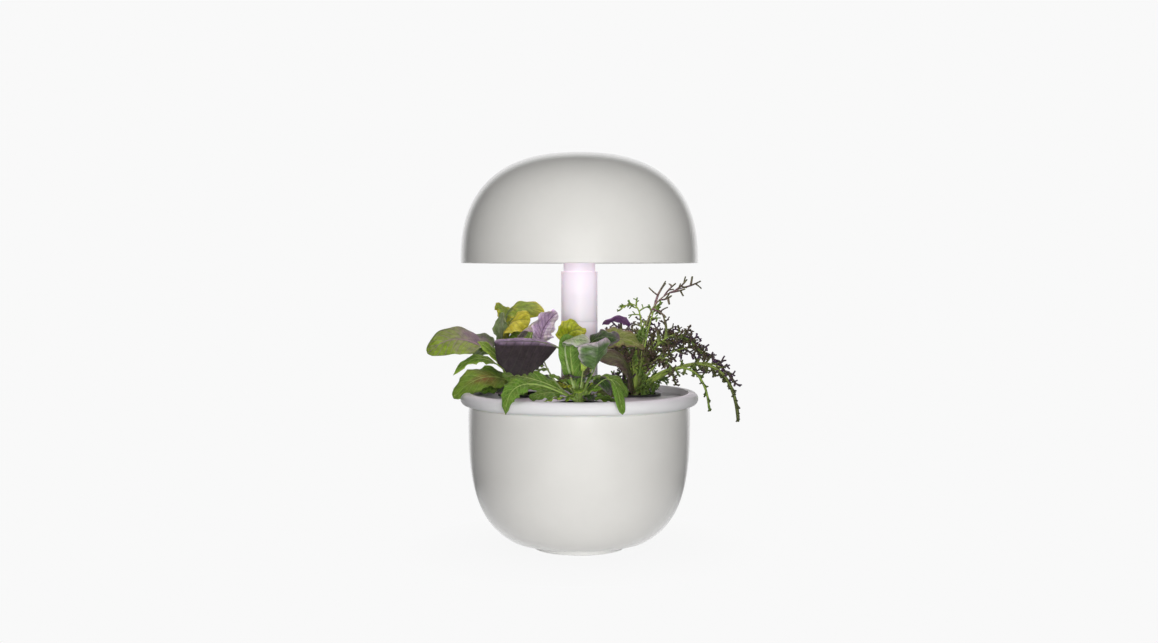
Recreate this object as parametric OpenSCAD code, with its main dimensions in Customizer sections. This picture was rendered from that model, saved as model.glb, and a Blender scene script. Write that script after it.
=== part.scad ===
// Countertop hydroponic garden: a round water bowl, a planting tray with three capsules,
// a mast of stacked height blocks and a domed light hood. Millimetres, +Z up, origin on the
// table under the middle of the foot. The front of the garden faces -Y.

/* [Bowl] */
// Outer radius of the bowl at its mouth
bowl_radius = 98; // [94:1:102]
// Height of the bowl's mouth above the table
bowl_height = 125; // [120:1:135]
// Wall of the bowl
bowl_wall = 3; // [2:0.5:4]
// Fullness of the bowl's outline, higher is squarer
bowl_curve = 3.2; // [3:0.1:3.6]
// How much of the outline's bottom is cut off flat
bowl_cut = 10; // [9:0.5:12]
// Height of the tank floor's upper face above the table
tank_floor = 27.5; // [26.5:0.5:30]
// Thickness of the tank floor
floor_wall = 2.5; // [2:0.5:3]

/* [Base] */
// Radius of the foot pad
foot_radius = 41; // [38:1:42]
// Height of the foot pad
foot_height = 8; // [6:0.5:9]
// Radius of the bottom cover
cover_radius = 50; // [49:0.5:51]
// Thickness of the bottom cover
cover_wall = 2.5; // [2:0.5:3]
// Number of screws in the bottom cover
cover_screw_count = 4; // [3:1:4]

/* [Planting tray] */
// How far the rim's rounded nose stands out over the bowl
rim_overhang = 7; // [6:0.5:10]
// Height of the rim
rim_height = 11; // [9:0.5:13]
// Height of the seal between bowl and rim
seal_height = 1; // [0.5:0.1:1.5]
// Depth of the deck below the rim's top
deck_recess = 6; // [5:0.5:8]
// Thickness of the deck and the skirts under it
tray_wall = 2.5; // [2:0.5:3]
// Depth of the skirt that fits into the bowl's mouth
skirt_depth = 10; // [6:1:14]

/* [Capsules] */
// Radius of the circle that the capsules stand on
pod_circle = 58; // [56:0.5:62]
// Outer radius of a capsule under its lip
pod_radius = 20.5; // [19:0.5:21.5]
// Depth of a capsule under the deck's upper face
pod_depth = 46; // [40:1:52]
// Wall of a capsule
pod_wall = 1.4; // [1.2:0.1:2]
// Width of a capsule's lip
lip_width = 3; // [2.5:0.5:4]
// Thickness of a capsule's lip
lip_height = 1.6; // [1.2:0.1:2]
// Number of root slots round a capsule
root_slots = 8; // [6:1:10]

/* [Mast] */
// Outer radius of the height blocks
mast_radius = 16.2; // [15.5:0.1:17]
// Wall of the height blocks
mast_wall = 2; // [1.6:0.1:2.4]
// Height of one height block
block_height = 44; // [38:1:54]
// Height of the mast foot above the deck
mast_foot_height = 24.3; // [21:0.1:30]
// Depth of the socket in the top of each block
socket_depth = 16; // [15:0.5:20]
// Visible height of the hood's neck above the upper block
neck_gap = 7.2; // [4:0.1:12]
// Width of the engraved height marks
mark_width = 14; // [8:1:18]
// Pitch of the engraved height marks
mark_pitch = 21.4; // [17:0.2:22]

/* [Hood] */
// Outer radius of the light hood
hood_radius = 105; // [102:0.5:110]
// Height of the light hood
hood_height = 98; // [94:1:104]
// Wall of the light hood
hood_wall = 2.8; // [2:0.1:3.5]
// Fullness of the hood's outline, higher is squarer
hood_curve = 2.5; // [2.3:0.1:2.8]
// Height of the reflector's ceiling above the hood's edge
light_recess = 15.5; // [13:0.5:18]
// Thickness of the reflector
reflector_wall = 2; // [1.5:0.1:2.5]
// Number of LEDs on the outer circle
outer_leds = 12; // [8:1:16]
// Number of LEDs on the inner circle
inner_leds = 6; // [4:1:8]

/* [Controls] */
// Radius of the button in the hood's crown
button_radius = 7; // [5:0.5:8]
// Radius of the filling hole
fill_radius = 13; // [10:0.5:14]
// Radius of the water level float
float_radius = 8; // [6:0.5:9]

/* [Pump] */
// Distance of the pump from the garden's axis
pump_offset = 38; // [37.5:0.5:40]
// Outer radius of the pump's housing
pump_radius = 19.5; // [19:0.5:20]
// Height of the pump's housing
pump_height = 18; // [17:0.5:22]
// Outer radius of the riser tube
riser_radius = 4; // [3.5:0.1:4.2]

/* [Hidden] */
$fn = 96;

turn_clearance = 0.05;   // radial gap of a running or sliding fit
seat_clearance = 0.3;    // gap between parts that lift apart
drop_clearance = 0.5;    // gap under a part that turns

// Heights that stack up from the table.
cover_z = foot_height;
bay_floor = cover_z + cover_wall;
floor_under = tank_floor - floor_wall;
rim_bottom = bowl_height + seal_height;
rim_top = rim_bottom + rim_height;
deck_top = rim_top - deck_recess;
deck_under = deck_top - tray_wall;
mast_foot_top = deck_top + mast_foot_height;
lower_block_top = mast_foot_top + block_height;
upper_block_top = lower_block_top + block_height;
hood_z = upper_block_top + neck_gap;
hood_top = hood_z + hood_height;

bowl_curve_depth = bowl_height - cover_z + bowl_cut;
tank_radius = bowl_radius - bowl_wall;
profile_steps = 30;

socket_radius = mast_radius - mast_wall;
spigot_radius = socket_radius - turn_clearance;
spigot_inner = spigot_radius - mast_wall;
contact_x = 5;
contact_radius = 1.25;
contact_drop = socket_depth - 2;   // contact faces below the top of each socket
pod_angles = [-90, 150, 30];

screw_radius = 1.4;
screw_head_radius = 2.6;
screw_head_height = 1.4;
screw_length = 8;
boss_radius = 4;

function pod_centre(i) = pod_circle * [cos(pod_angles[i]), sin(pod_angles[i])];

// Superellipse from [r, 0] down to where its depth reaches "cut".
function outline(r, depth, power, cut) =
    let (last = asin(min(1, pow(cut / depth, power / 2))))
    [for (i = [0:profile_steps])
        let (t = last * i / profile_steps)
        [r * pow(max(cos(t), 0), 2 / power), depth * pow(sin(t), 2 / power)]];

// Turned solid inside the bowl's outline, from its mouth down to "low".
module bowl_form(inset, low, mouth_extra = 0) {
    curve = outline(bowl_radius - inset, bowl_curve_depth - inset, bowl_curve, bowl_height - low);
    rotate_extrude()
    polygon(concat(
        [[0, bowl_height + mouth_extra], [bowl_radius - inset, bowl_height + mouth_extra]],
        [for (p = curve) [p[0], bowl_height - p[1]]],
        [[0, low]]
    ));
}

function bowl_radius_at(inset, z) =
    let (depth = (bowl_height - z) / (bowl_curve_depth - inset))
    (bowl_radius - inset) * pow(1 - pow(depth, bowl_curve), 1 / bowl_curve);

// Pan-head screw, head down at z = 0, with a hexagon socket in the head.
module screw() {
    socket = 1.1;
    difference() {
        cylinder(r = screw_head_radius, h = screw_head_height, $fn = 32);
        translate([0, 0, -0.1])
        cylinder(r = socket, h = 0.9, $fn = 6);
    }
    translate([0, 0, screw_head_height])
    cylinder(r = screw_radius, h = screw_length, $fn = 32);
}

// Clearance for the same screw through a plate that starts at z = 0.
module screw_way(through) {
    translate([0, 0, -1])
    cylinder(r = screw_radius + turn_clearance, h = through + 2, $fn = 32);
    translate([0, 0, -1])
    cylinder(r = screw_head_radius + turn_clearance, h = screw_head_height + 1, $fn = 32);
}

// Closed tube through a list of points, with rings square to the path.
function unit(v) = v / max(norm(v), 1e-6);
function tube_point(path, r, i, k, sides) =
    let (
        n = len(path) - 1,
        t = unit(path[min(i + 1, n)] - path[max(i - 1, 0)]),
        s = unit(cross(t, abs(t[2]) > 0.9 ? [1, 0, 0] : [0, 0, 1])),
        u = cross(t, s),
        a = 360 * k / sides
    )
    path[i] + r * (s * cos(a) + u * sin(a));

module tube(path, r, sides) {
    last = len(path) - 1;
    points = [for (i = [0:last], k = [0:sides - 1]) tube_point(path, r, i, k, sides)];
    walls = [for (i = [0:last - 1], k = [0:sides - 1], half = [0, 1])
        let (
            j = (k + 1) % sides,
            near = i * sides,
            far = near + sides
        )
        half == 0 ? [near + j, near + k, far + k] : [near + j, far + k, far + j]];
    start = [for (k = [0:sides - 1]) k];
    end = [for (k = [sides - 1:-1:0]) last * sides + k];
    polyhedron(points, concat(walls, [start, end]));
}

// Cubic curve with four control points.
function bezier(p, t) =
    pow(1 - t, 3) * p[0] + 3 * t * pow(1 - t, 2) * p[1] + 3 * t * t * (1 - t) * p[2] + pow(t, 3) * p[3];
function bezier_path(p, steps) = [for (i = [0:steps]) bezier(p, i / steps)];

wire_radius = 0.9;
wire_rings = 10;
wire_gap = 0.15;   // room for solder between a wire's end and what it runs to

module wire(p) {
    tube(bezier_path(p, wire_rings), wire_radius, 8);
}

// ---------------------------------------------------------------- base

module foot_pad() {
    edge = 1.2;
    color([0.88, 0.88, 0.86])
    rotate_extrude()
    polygon([
        [0, 0], [foot_radius - edge, 0], [foot_radius, edge],
        [foot_radius, foot_height], [0, foot_height]
    ]);
}

cover_screw_circle = (foot_radius + cover_radius) / 2;

module at_cover_screws() {
    for (i = [0:cover_screw_count - 1])
        rotate([0, 0, 45 + 360 * i / cover_screw_count])
        translate([cover_screw_circle, 0, 0])
        children();
}

module bottom_cover() {
    color([0.78, 0.77, 0.74])
    difference() {
        translate([0, 0, cover_z])
        cylinder(r = cover_radius - seat_clearance, h = cover_wall);
        at_cover_screws()
        translate([0, 0, cover_z])
        screw_way(cover_wall);
    }
}

module cover_screws() {
    color([0.6, 0.6, 0.62])
    at_cover_screws()
    translate([0, 0, cover_z])
    screw();
}

well_radius = 9;
well_wall = 1.5;
well_floor = bay_floor + 3;
inlet_z = bay_floor + 7;
inlet_radius = 5.5;
inlet_length = 15;
inlet_recess = 8.1;   // of its face in the bowl's outside
inlet_face = bowl_radius_at(0, inlet_z) - inlet_recess;
inlet_pocket = inlet_radius + 2;
post_radius = 10;
post_wall = 2;
post_flange = 13;
wire_way = post_radius - post_wall - 1;
stator_outer = 15.5;
stator_height = 12;

module bowl() {
    color([0.86, 0.85, 0.82])
    difference() {
        bowl_form(0, cover_z);
        // the tank
        bowl_form(bowl_wall, tank_floor, 1);
        // the dry bay under the tank floor, with the rotor well, bosses and inlet left standing
        difference() {
            union() {
                intersection() {
                    bowl_form(bowl_wall, bay_floor);
                    cylinder(r = bowl_radius, h = floor_under);
                }
                // room for the pump's coil
                translate([0, -pump_offset, floor_under - stator_height])
                cylinder(r = stator_outer + seat_clearance, h = stator_height);
            }
            translate([0, -pump_offset, well_floor - well_wall])
            cylinder(r = well_radius + well_wall, h = tank_floor);
            at_cover_screws()
            translate([0, 0, bay_floor])
            cylinder(r = boss_radius, h = tank_floor, $fn = 48);
            translate([0, inlet_face - inlet_length, inlet_z])
            rotate([-90, 0, 0])
            cylinder(r = inlet_pocket + 2, h = inlet_length * 2, $fn = 64);
        }
        // seat of the bottom cover
        translate([0, 0, cover_z - 1])
        cylinder(r = cover_radius, h = cover_wall + 1);
        // rotor well
        translate([0, -pump_offset, well_floor])
        cylinder(r = well_radius, h = tank_floor, $fn = 64);
        // screw holes in the bosses
        at_cover_screws()
        translate([0, 0, cover_z])
        cylinder(r = screw_radius + turn_clearance, h = screw_head_height + screw_length + 0.2, $fn = 32);
        // hole for the power inlet, and the round pocket that its face sits in
        translate([0, inlet_face, inlet_z])
        rotate([-90, 0, 0]) {
            translate([0, 0, -inlet_length - 5])
            cylinder(r = inlet_radius, h = inlet_length + 10, $fn = 64);
            cylinder(r = inlet_pocket, h = 30, $fn = 64);
        }
        // way for the wires up the post
        translate([0, 0, bay_floor])
        cylinder(r = wire_way, h = tank_floor, $fn = 64);
    }
}

circuit_board = 1.6;
power_board_z = bay_floor + 2;
power_board_width = 34;
power_board_length = 30;
power_board_top = power_board_z + circuit_board;
power_board_y = inlet_face - inlet_length - power_board_length - 0.5;
power_choke = [4, 5];   // radius and height
power_choke_place = [-9, 12];
power_chip = [9, 7, 3.5];
power_chip_place = [6, 8];

module power_inlet() {
    plug_radius = 2.8;
    pin_radius = 1;
    plug_depth = 9.5;
    lug_length = 4;
    color([0.12, 0.12, 0.13]) {
        translate([0, inlet_face, inlet_z])
        rotate([90, 0, 0]) {
            difference() {
                cylinder(r = inlet_radius - turn_clearance, h = inlet_length, $fn = 64);
                translate([0, 0, -1])
                cylinder(r = plug_radius, h = plug_depth + 1, $fn = 48);
            }
            translate([0, 0, 1])
            cylinder(r = pin_radius, h = plug_depth, $fn = 32);
        }
        // solder lugs that reach back over the power board
        for (x = [-2.5, 2.5])
            translate([x - 0.6, inlet_face - inlet_length - lug_length + 1, power_board_top])
            cube([1.2, lug_length, 1.2]);
    }
}

module power_board() {
    foot_inset = 3;
    color([0.12, 0.4, 0.22])
    translate([-power_board_width / 2, power_board_y, power_board_z])
    cube([power_board_width, power_board_length, circuit_board]);
    color([0.15, 0.15, 0.16]) {
        translate([power_choke_place[0], power_board_y + power_choke_place[1], power_board_top])
        cylinder(r = power_choke[0], h = power_choke[1], $fn = 32);
        translate([power_chip_place[0], power_board_y + power_chip_place[1], power_board_top])
        cube(power_chip);
    }
    // feet that stand on the bottom cover
    color([0.8, 0.8, 0.78])
    for (x = [-1, 1], y = [foot_inset, power_board_length - foot_inset])
        translate([x * (power_board_width / 2 - foot_inset), power_board_y + y, bay_floor])
        cylinder(r = 2, h = power_board_z - bay_floor, $fn = 24);
}

// ---------------------------------------------------------------- pump and power post

stator_inner = well_radius + well_wall + turn_clearance;

module at_pump() {
    translate([0, -pump_offset, 0]) children();
}

module pump_stator() {
    color([0.62, 0.33, 0.16])
    at_pump()
    translate([0, 0, floor_under - stator_height])
    difference() {
        cylinder(r = stator_outer, h = stator_height);
        translate([0, 0, -1])
        cylinder(r = stator_inner, h = stator_height + 2);
    }
}

module pump_leads() {
    // two wires from the power board's front edge to the coil
    lead_z = power_board_z + 0.8;
    coil_edge = -pump_offset + stator_outer;
    color([0.1, 0.1, 0.1])
    for (x = [-3, 3])
        wire([
            [x, power_board_y - wire_gap, lead_z], [x, 5, lead_z],
            [x, -8, lead_z + 4], [x, coil_edge + wire_gap, lead_z + 4]
        ]);
}

impeller_z = tank_floor + 2;
impeller_height = 7;
impeller_radius = 13;
chamber_top = impeller_z + impeller_height + 1.5;
casing_top = tank_floor + pump_height;
eye_radius = 5;
hub_radius = 22;
channel = [hub_radius + 2, hub_radius + 7];
riser_y = -(channel[0] + channel[1]) / 2;
riser_seat = 4;
riser_bore = riser_radius - 1.2;
shaft_radius = 1.2;

module pump_housing() {
    color([0.2, 0.21, 0.22]) {
        difference() {
            union() {
                at_pump()
                translate([0, 0, tank_floor])
                cylinder(r = pump_radius, h = pump_height);
                translate([0, riser_y, tank_floor])
                cylinder(r = riser_radius + 2, h = pump_height, $fn = 48);
            }
            // impeller chamber and the intake eye above it
            at_pump() {
                translate([0, 0, tank_floor - 1])
                cylinder(r = impeller_radius + 2, h = chamber_top - tank_floor + 1);
                translate([0, 0, tank_floor])
                cylinder(r = eye_radius, h = pump_height + 5, $fn = 48);
            }
            // passage to the riser, and the riser's seat
            translate([0, riser_y, impeller_z])
            cylinder(r = riser_bore, h = pump_height + 5, $fn = 48);
            translate([0, riser_y, casing_top - riser_seat])
            cylinder(r = riser_radius + turn_clearance, h = 20, $fn = 48);
        }
        // bridge across the eye that holds the shaft's upper end
        at_pump()
        difference() {
            translate([-eye_radius - 1, -1.5, casing_top - 4])
            cube([2 * eye_radius + 2, 3, 2.5]);
            translate([0, 0, casing_top - 10])
            cylinder(r = shaft_radius + turn_clearance, h = 20, $fn = 32);
        }
    }
}

module pump_strainer() {
    // slotted cap over the intake
    cap_radius = eye_radius + 2;
    cap_height = 9;
    cap_wall = 1.2;
    slots = 8;
    color([0.3, 0.31, 0.32])
    at_pump()
    translate([0, 0, casing_top])
    difference() {
        cylinder(r = cap_radius, h = cap_height, $fn = 64);
        translate([0, 0, -1])
        cylinder(r = cap_radius - cap_wall, h = cap_height - cap_wall + 1, $fn = 64);
        for (i = [0:slots - 1])
            rotate([0, 0, 360 * i / slots])
            translate([cap_radius - 2.5, -0.8, 1.5])
            cube([4, 1.6, cap_height - 3.5]);
    }
}

module pump_shaft() {
    color([0.92, 0.92, 0.9])
    at_pump()
    translate([0, 0, well_floor])
    cylinder(r = shaft_radius, h = casing_top - 1.5 - well_floor, $fn = 32);
}

module pump_rotor() {
    // magnet in the well, with the impeller above it
    blades = 6;
    hub = 4;
    color([0.25, 0.3, 0.36])
    at_pump()
    difference() {
        union() {
            translate([0, 0, well_floor + drop_clearance])
            cylinder(r = well_radius - 1, h = tank_floor - well_floor, $fn = 64);
            translate([0, 0, impeller_z])
            cylinder(r = impeller_radius, h = 1.2, $fn = 64);
            translate([0, 0, impeller_z - 2])
            cylinder(r = hub, h = impeller_height + 2.5, $fn = 48);
            for (i = [0:blades - 1])
                rotate([0, 0, 360 * i / blades])
                translate([hub - 1, -0.6, impeller_z + 0.5])
                cube([impeller_radius - hub, 1.2, impeller_height - 1]);
        }
        translate([0, 0, -1])
        cylinder(r = shaft_radius + turn_clearance, h = 60, $fn = 32);
    }
}

ring_depth = 8;
riser_top = deck_under - ring_depth / 2 - 0.5;

module riser_tube() {
    riser_bottom = casing_top - riser_seat;
    color([0.9, 0.9, 0.88])
    translate([0, riser_y, riser_bottom])
    difference() {
        cylinder(r = riser_radius, h = riser_top - riser_bottom, $fn = 48);
        translate([0, 0, -1])
        cylinder(r = riser_bore, h = riser_top - riser_bottom + 2, $fn = 48);
    }
}

hub_depth = 9;
post_top = deck_under - hub_depth - 2;
foot_contact_z = deck_under - hub_depth + 0.5;

module at_contacts() {
    for (x = [-contact_x, contact_x])
        translate([x, 0, 0])
        children();
}

module power_post() {
    post_z = tank_floor + 1;
    post_cap = 3;
    color([0.93, 0.93, 0.91])
    difference() {
        union() {
            translate([0, 0, post_z])
            cylinder(r = post_radius, h = post_top - post_z);
            translate([0, 0, post_z])
            cylinder(r1 = post_flange, r2 = post_radius, h = 5);
        }
        translate([0, 0, tank_floor])
        cylinder(r = post_radius - post_wall, h = post_top - tank_floor - post_cap);
        at_contacts()
        cylinder(r = contact_radius + turn_clearance, h = post_top + 1, $fn = 32);
    }
}

module post_seal() {
    color([0.15, 0.15, 0.15])
    translate([0, 0, tank_floor])
    difference() {
        cylinder(r = post_flange - 0.5, h = 1);
        translate([0, 0, -1])
        cylinder(r = post_radius - post_wall, h = 3);
    }
}

post_contact_z = post_top - 8;

module post_wires() {
    // two wires from the power board, round the bend and up the post to the contacts
    bend_top = tank_floor + 12;
    color([0.7, 0.1, 0.1]) {
        for (s = [-1, 1])
            wire([
                [s * contact_x, power_board_y + 3, power_board_top + wire_gap],
                [s * contact_x, power_board_y + 3, power_board_top + 4],
                [s * contact_x, 0, bay_floor + 3],
                [s * contact_x, 0, bend_top]
            ]);
        at_contacts()
        translate([0, 0, bend_top - 1])
        cylinder(r = wire_radius, h = post_contact_z - bend_top + 1, $fn = 24);
    }
}

// Two contact rods that run from one contact plane to the next.
module contact_pair(from, to) {
    color([0.85, 0.68, 0.3])
    at_contacts()
    translate([0, 0, from])
    cylinder(r = contact_radius, h = to - from, $fn = 32);
}

module post_contacts() { contact_pair(post_contact_z, foot_contact_z); }

// ---------------------------------------------------------------- planting tray

module rim_seal() {
    color([0.55, 0.55, 0.54])
    translate([0, 0, bowl_height])
    difference() {
        cylinder(r = bowl_radius - 0.8, h = seal_height);
        translate([0, 0, -1])
        cylinder(r = tank_radius, h = seal_height + 2);
    }
}

rim_radius = bowl_radius + rim_overhang;
nose = rim_height / 2;
rim_flat = 2;
rim_inner = rim_radius - nose - rim_flat - 1;
lid_radius = fill_radius + 3;
lid_tab = [10, 3];   // its width and how far it stands out
tab_clearance = 5.5;
fill_centre = [0, rim_inner - tab_clearance - lid_tab[1] - lid_radius];
lid_pin_y = fill_centre[1] - fill_radius - 5.5;
lid_pin_z = deck_top + 2.6;
lid_pin_radius = 1.2;
knuckle_radius = 2.2;
knuckle_width = 13;
ear_gap = 1;
ear_width = 3;
float_stem_radius = 2.4;
pod_gap = seat_clearance;
collar_radius = pod_radius + pod_gap + tray_wall;
collar_depth = 12;
spout_radius = 2.5;
spout_z = deck_under - 3.5;
foot_screw_circle = mast_radius + 2.6;

module at_pods() {
    for (i = [0:2])
        translate(pod_centre(i)) children();
}

module at_foot_screws() {
    for (a = [30, 150, 270])
        rotate([0, 0, a])
        translate([foot_screw_circle, 0, 0])
        children();
}

module pin_way(r) {
    translate([-rim_inner, lid_pin_y, lid_pin_z])
    rotate([0, 90, 0])
    cylinder(r = r, h = 2 * rim_inner, $fn = 32);
}

// rounded rim, the skirt that fits into the bowl's mouth and the ledge that the deck lies on
module tray_rim() {
    skirt_radius = tank_radius - seat_clearance;
    nose_steps = 12;
    nose_curve = [for (i = [0:nose_steps])
        let (a = -90 + 180 * i / nose_steps)
        [rim_radius - nose + nose * cos(a), rim_bottom + nose + nose * sin(a)]];
    color([0.93, 0.92, 0.94])
    rotate_extrude()
    polygon(concat(
        [
            [skirt_radius - tray_wall, deck_under],
            [skirt_radius - tray_wall, rim_bottom - skirt_depth],
            [skirt_radius, rim_bottom - skirt_depth], [skirt_radius, rim_bottom]
        ],
        nose_curve,
        [[rim_inner + 1, rim_top], [rim_inner, rim_top - 1], [rim_inner, deck_under]]
    ));
}

module planting_tray() {
    color([0.93, 0.92, 0.94])
    difference() {
        union() {
            // deck
            translate([0, 0, deck_under])
            cylinder(r = rim_inner - seat_clearance, h = tray_wall);
            // guide collars under the capsule holes
            at_pods()
            translate([0, 0, deck_under - collar_depth])
            cylinder(r = collar_radius, h = collar_depth + 0.5);
            // hub round the mast foot's spigot
            translate([0, 0, deck_under - hub_depth])
            cylinder(r = hub_radius, h = hub_depth + 0.5);
            // collar of the float's stem
            translate([float_centre[0], float_centre[1], deck_top - 0.5])
            cylinder(r = float_stem_radius + 2, h = 2.5, $fn = 48);
        }
        at_pods()
        translate([0, 0, deck_under - collar_depth - 1])
        cylinder(r = pod_radius + pod_gap, h = collar_depth + tray_wall + 2);
        translate([0, 0, deck_under - 20])
        cylinder(r = socket_radius, h = 40);
        translate([fill_centre[0], fill_centre[1], deck_under - 1])
        cylinder(r = fill_radius, h = tray_wall + 2);
        translate([float_centre[0], float_centre[1], deck_under - 1])
        cylinder(r = float_stem_radius + turn_clearance, h = tray_wall + 5, $fn = 48);
        at_foot_screws()
        translate([0, 0, deck_under - hub_depth])
        cylinder(r = screw_radius + turn_clearance, h = hub_depth + tray_wall + 1, $fn = 32);
        // holes for the distributor's spouts
        for (a = pod_angles)
            rotate([0, 0, a])
            translate([channel[1], 0, spout_z])
            rotate([0, 90, 0])
            cylinder(
                r = spout_radius + turn_clearance,
                h = pod_circle - channel[1] - pod_radius / 2,
                $fn = 32
            );
    }
}

module distributor() {
    // ring channel round the hub, fed by the riser, with a spout to each capsule
    ring_radius = channel[1] + 2;
    ring_z = deck_under - ring_depth;
    spout_end = pod_circle - pod_radius - pod_gap;
    color([0.85, 0.86, 0.85])
    difference() {
        union() {
            translate([0, 0, ring_z])
            cylinder(r = ring_radius, h = ring_depth);
            for (a = pod_angles)
                rotate([0, 0, a])
                translate([ring_radius - 1, 0, spout_z])
                rotate([0, 90, 0])
                cylinder(r = spout_radius, h = spout_end - ring_radius + 1, $fn = 32);
        }
        translate([0, 0, ring_z - 1])
        cylinder(r = hub_radius + turn_clearance, h = ring_depth + 2);
        translate([0, 0, ring_z + ring_depth / 2])
        difference() {
            cylinder(r = channel[1], h = ring_depth);
            cylinder(r = channel[0], h = ring_depth);
        }
        translate([0, riser_y, ring_z - 1])
        cylinder(r = riser_radius + turn_clearance, h = ring_depth / 2 + 2, $fn = 48);
        for (a = pod_angles)
            rotate([0, 0, a])
            translate([channel[1] - 1, 0, spout_z])
            rotate([0, 90, 0])
            cylinder(r = spout_radius - 1.1, h = 30, $fn = 32);
    }
}

module lid_ears() {
    ear_x = knuckle_width / 2 + ear_gap;
    color([0.93, 0.92, 0.94])
    difference() {
        for (x = [-ear_x - ear_width, ear_x])
            translate([x, lid_pin_y - knuckle_radius, deck_top])
            cube([ear_width, 2 * knuckle_radius, lid_pin_z - deck_top + knuckle_radius]);
        pin_way(lid_pin_radius + turn_clearance);
    }
}

module fill_lid() {
    lid_wall = 1.6;
    lid_height = 4;
    lid_z = deck_top + 0.1;
    tab_root = 2;
    lid_back = fill_centre[1] + lid_radius;
    color([0.9, 0.9, 0.92])
    difference() {
        union() {
            translate([fill_centre[0], fill_centre[1], lid_z])
            cylinder(r = lid_radius, h = lid_height);
            // finger tab at the back
            translate([-lid_tab[0] / 2, lid_back - tab_root, lid_z + lid_height - lid_wall])
            cube([lid_tab[0], lid_tab[1] + tab_root, lid_wall]);
            // arm and knuckle at the hinge
            translate([-knuckle_width / 2, lid_pin_y, lid_pin_z - 1])
            cube([knuckle_width, 6, 2.4]);
            translate([-knuckle_width / 2, lid_pin_y, lid_pin_z])
            rotate([0, 90, 0])
            cylinder(r = knuckle_radius, h = knuckle_width, $fn = 32);
        }
        translate([fill_centre[0], fill_centre[1], lid_z - 1])
        cylinder(r = lid_radius - lid_wall, h = lid_height - lid_wall + 1);
        pin_way(lid_pin_radius + turn_clearance);
    }
}

module lid_pin() {
    pin_length = knuckle_width + 2 * (ear_gap + ear_width);
    color([0.7, 0.7, 0.72])
    translate([-pin_length / 2, lid_pin_y, lid_pin_z])
    rotate([0, 90, 0])
    cylinder(r = lid_pin_radius, h = pin_length, $fn = 32);
}

cage_depth = 44;
cage_wall = 1.5;
cage_inner = float_radius + 0.6;
cage_clearance = 5;
float_circle = tank_radius - cage_inner - cage_wall - cage_clearance;
float_angle = 58.3;
float_centre = float_circle * [cos(float_angle), sin(float_angle)];
float_rest = deck_under - cage_depth + cage_wall + 0.1;
float_height = 18;

module float_cage() {
    windows = 4;
    color([0.9, 0.9, 0.9])
    translate([float_centre[0], float_centre[1], deck_under - cage_depth])
    difference() {
        cylinder(r = cage_inner + cage_wall, h = cage_depth);
        translate([0, 0, cage_wall])
        cylinder(r = cage_inner, h = cage_depth);
        translate([0, 0, -1])
        cylinder(r = 3, h = 10, $fn = 32);
        for (i = [0:windows - 1])
            rotate([0, 0, 45 + 360 * i / windows])
            translate([0, -2.5, 4])
            cube([cage_inner + 5, 5, cage_depth - 10]);
    }
}

module level_float() {
    color([0.35, 0.65, 0.3])
    translate([float_centre[0], float_centre[1], float_rest]) {
        cylinder(r = float_radius, h = float_height);
        cylinder(r = float_stem_radius, h = deck_top + 3 - float_rest, $fn = 48);
    }
}

// ---------------------------------------------------------------- capsules and growth plugs

pod_taper = 2.5;
pod_bottom = deck_top - pod_depth;
pod_floor = pod_bottom + pod_wall;
dimple_radius = 5;
dimple_depth = 1.5;

module pod(i) {
    slot_width = 3;
    slot_height = 16;
    color([0.16, 0.17, 0.18])
    translate(pod_centre(i))
    difference() {
        union() {
            translate([0, 0, pod_bottom])
            cylinder(r1 = pod_radius - pod_taper, r2 = pod_radius, h = pod_depth);
            translate([0, 0, deck_top])
            cylinder(r = pod_radius + lip_width, h = lip_height);
        }
        translate([0, 0, pod_floor])
        cylinder(
            r1 = pod_radius - pod_taper - pod_wall,
            r2 = pod_radius - pod_wall,
            h = pod_depth - pod_wall
        );
        translate([0, 0, deck_top - 0.01])
        cylinder(r = pod_radius - pod_wall, h = lip_height + 1);
        // root slots, and the hole that the spout feeds
        for (k = [0:root_slots - 1])
            rotate([0, 0, 360 * k / root_slots])
            translate([pod_radius / 2, -slot_width / 2, pod_bottom - 1])
            cube([pod_radius, slot_width, slot_height]);
        rotate([0, 0, pod_angles[i] + 180])
        translate([pod_radius / 2, 0, spout_z])
        rotate([0, 90, 0])
        cylinder(r = spout_radius - 1.1, h = pod_radius, $fn = 32);
    }
}

module plug(i) {
    // block of mineral wool, with a dimple for the stem
    gap = 0.2;
    color([0.3, 0.24, 0.18])
    translate(pod_centre(i))
    difference() {
        translate([0, 0, pod_floor])
        cylinder(
            r1 = pod_radius - pod_taper - pod_wall - gap,
            r2 = pod_radius - pod_wall - gap,
            h = pod_depth - pod_wall
        );
        translate([0, 0, deck_top - dimple_depth])
        cylinder(r = dimple_radius, h = dimple_depth + 1, $fn = 48);
    }
}

module pod_front() { pod(0); }
module pod_left() { pod(1); }
module pod_right() { pod(2); }
module plug_front() { plug(0); }
module plug_left() { plug(1); }
module plug_right() { plug(2); }

// ---------------------------------------------------------------- mast

foot_flange = 22;
foot_flange_height = 3;
partition = 2;
spigot_depth = socket_depth - 1;

// Tube with a socket in its top, a partition that carries the contacts, and a spigot below.
module mast_stage(bottom, top, spigot_length) {
    difference() {
        union() {
            translate([0, 0, bottom])
            cylinder(r = mast_radius, h = top - bottom);
            translate([0, 0, bottom - spigot_length])
            cylinder(r = spigot_radius, h = spigot_length + 1);
        }
        translate([0, 0, top - socket_depth])
        cylinder(r = socket_radius, h = socket_depth + 1);
        translate([0, 0, bottom - spigot_length - 1])
        cylinder(r = spigot_inner, h = top - socket_depth - partition - bottom + spigot_length + 1);
        at_contacts()
        translate([0, 0, bottom - spigot_length])
        cylinder(r = contact_radius + turn_clearance, h = top - bottom + spigot_length, $fn = 32);
    }
}

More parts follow.
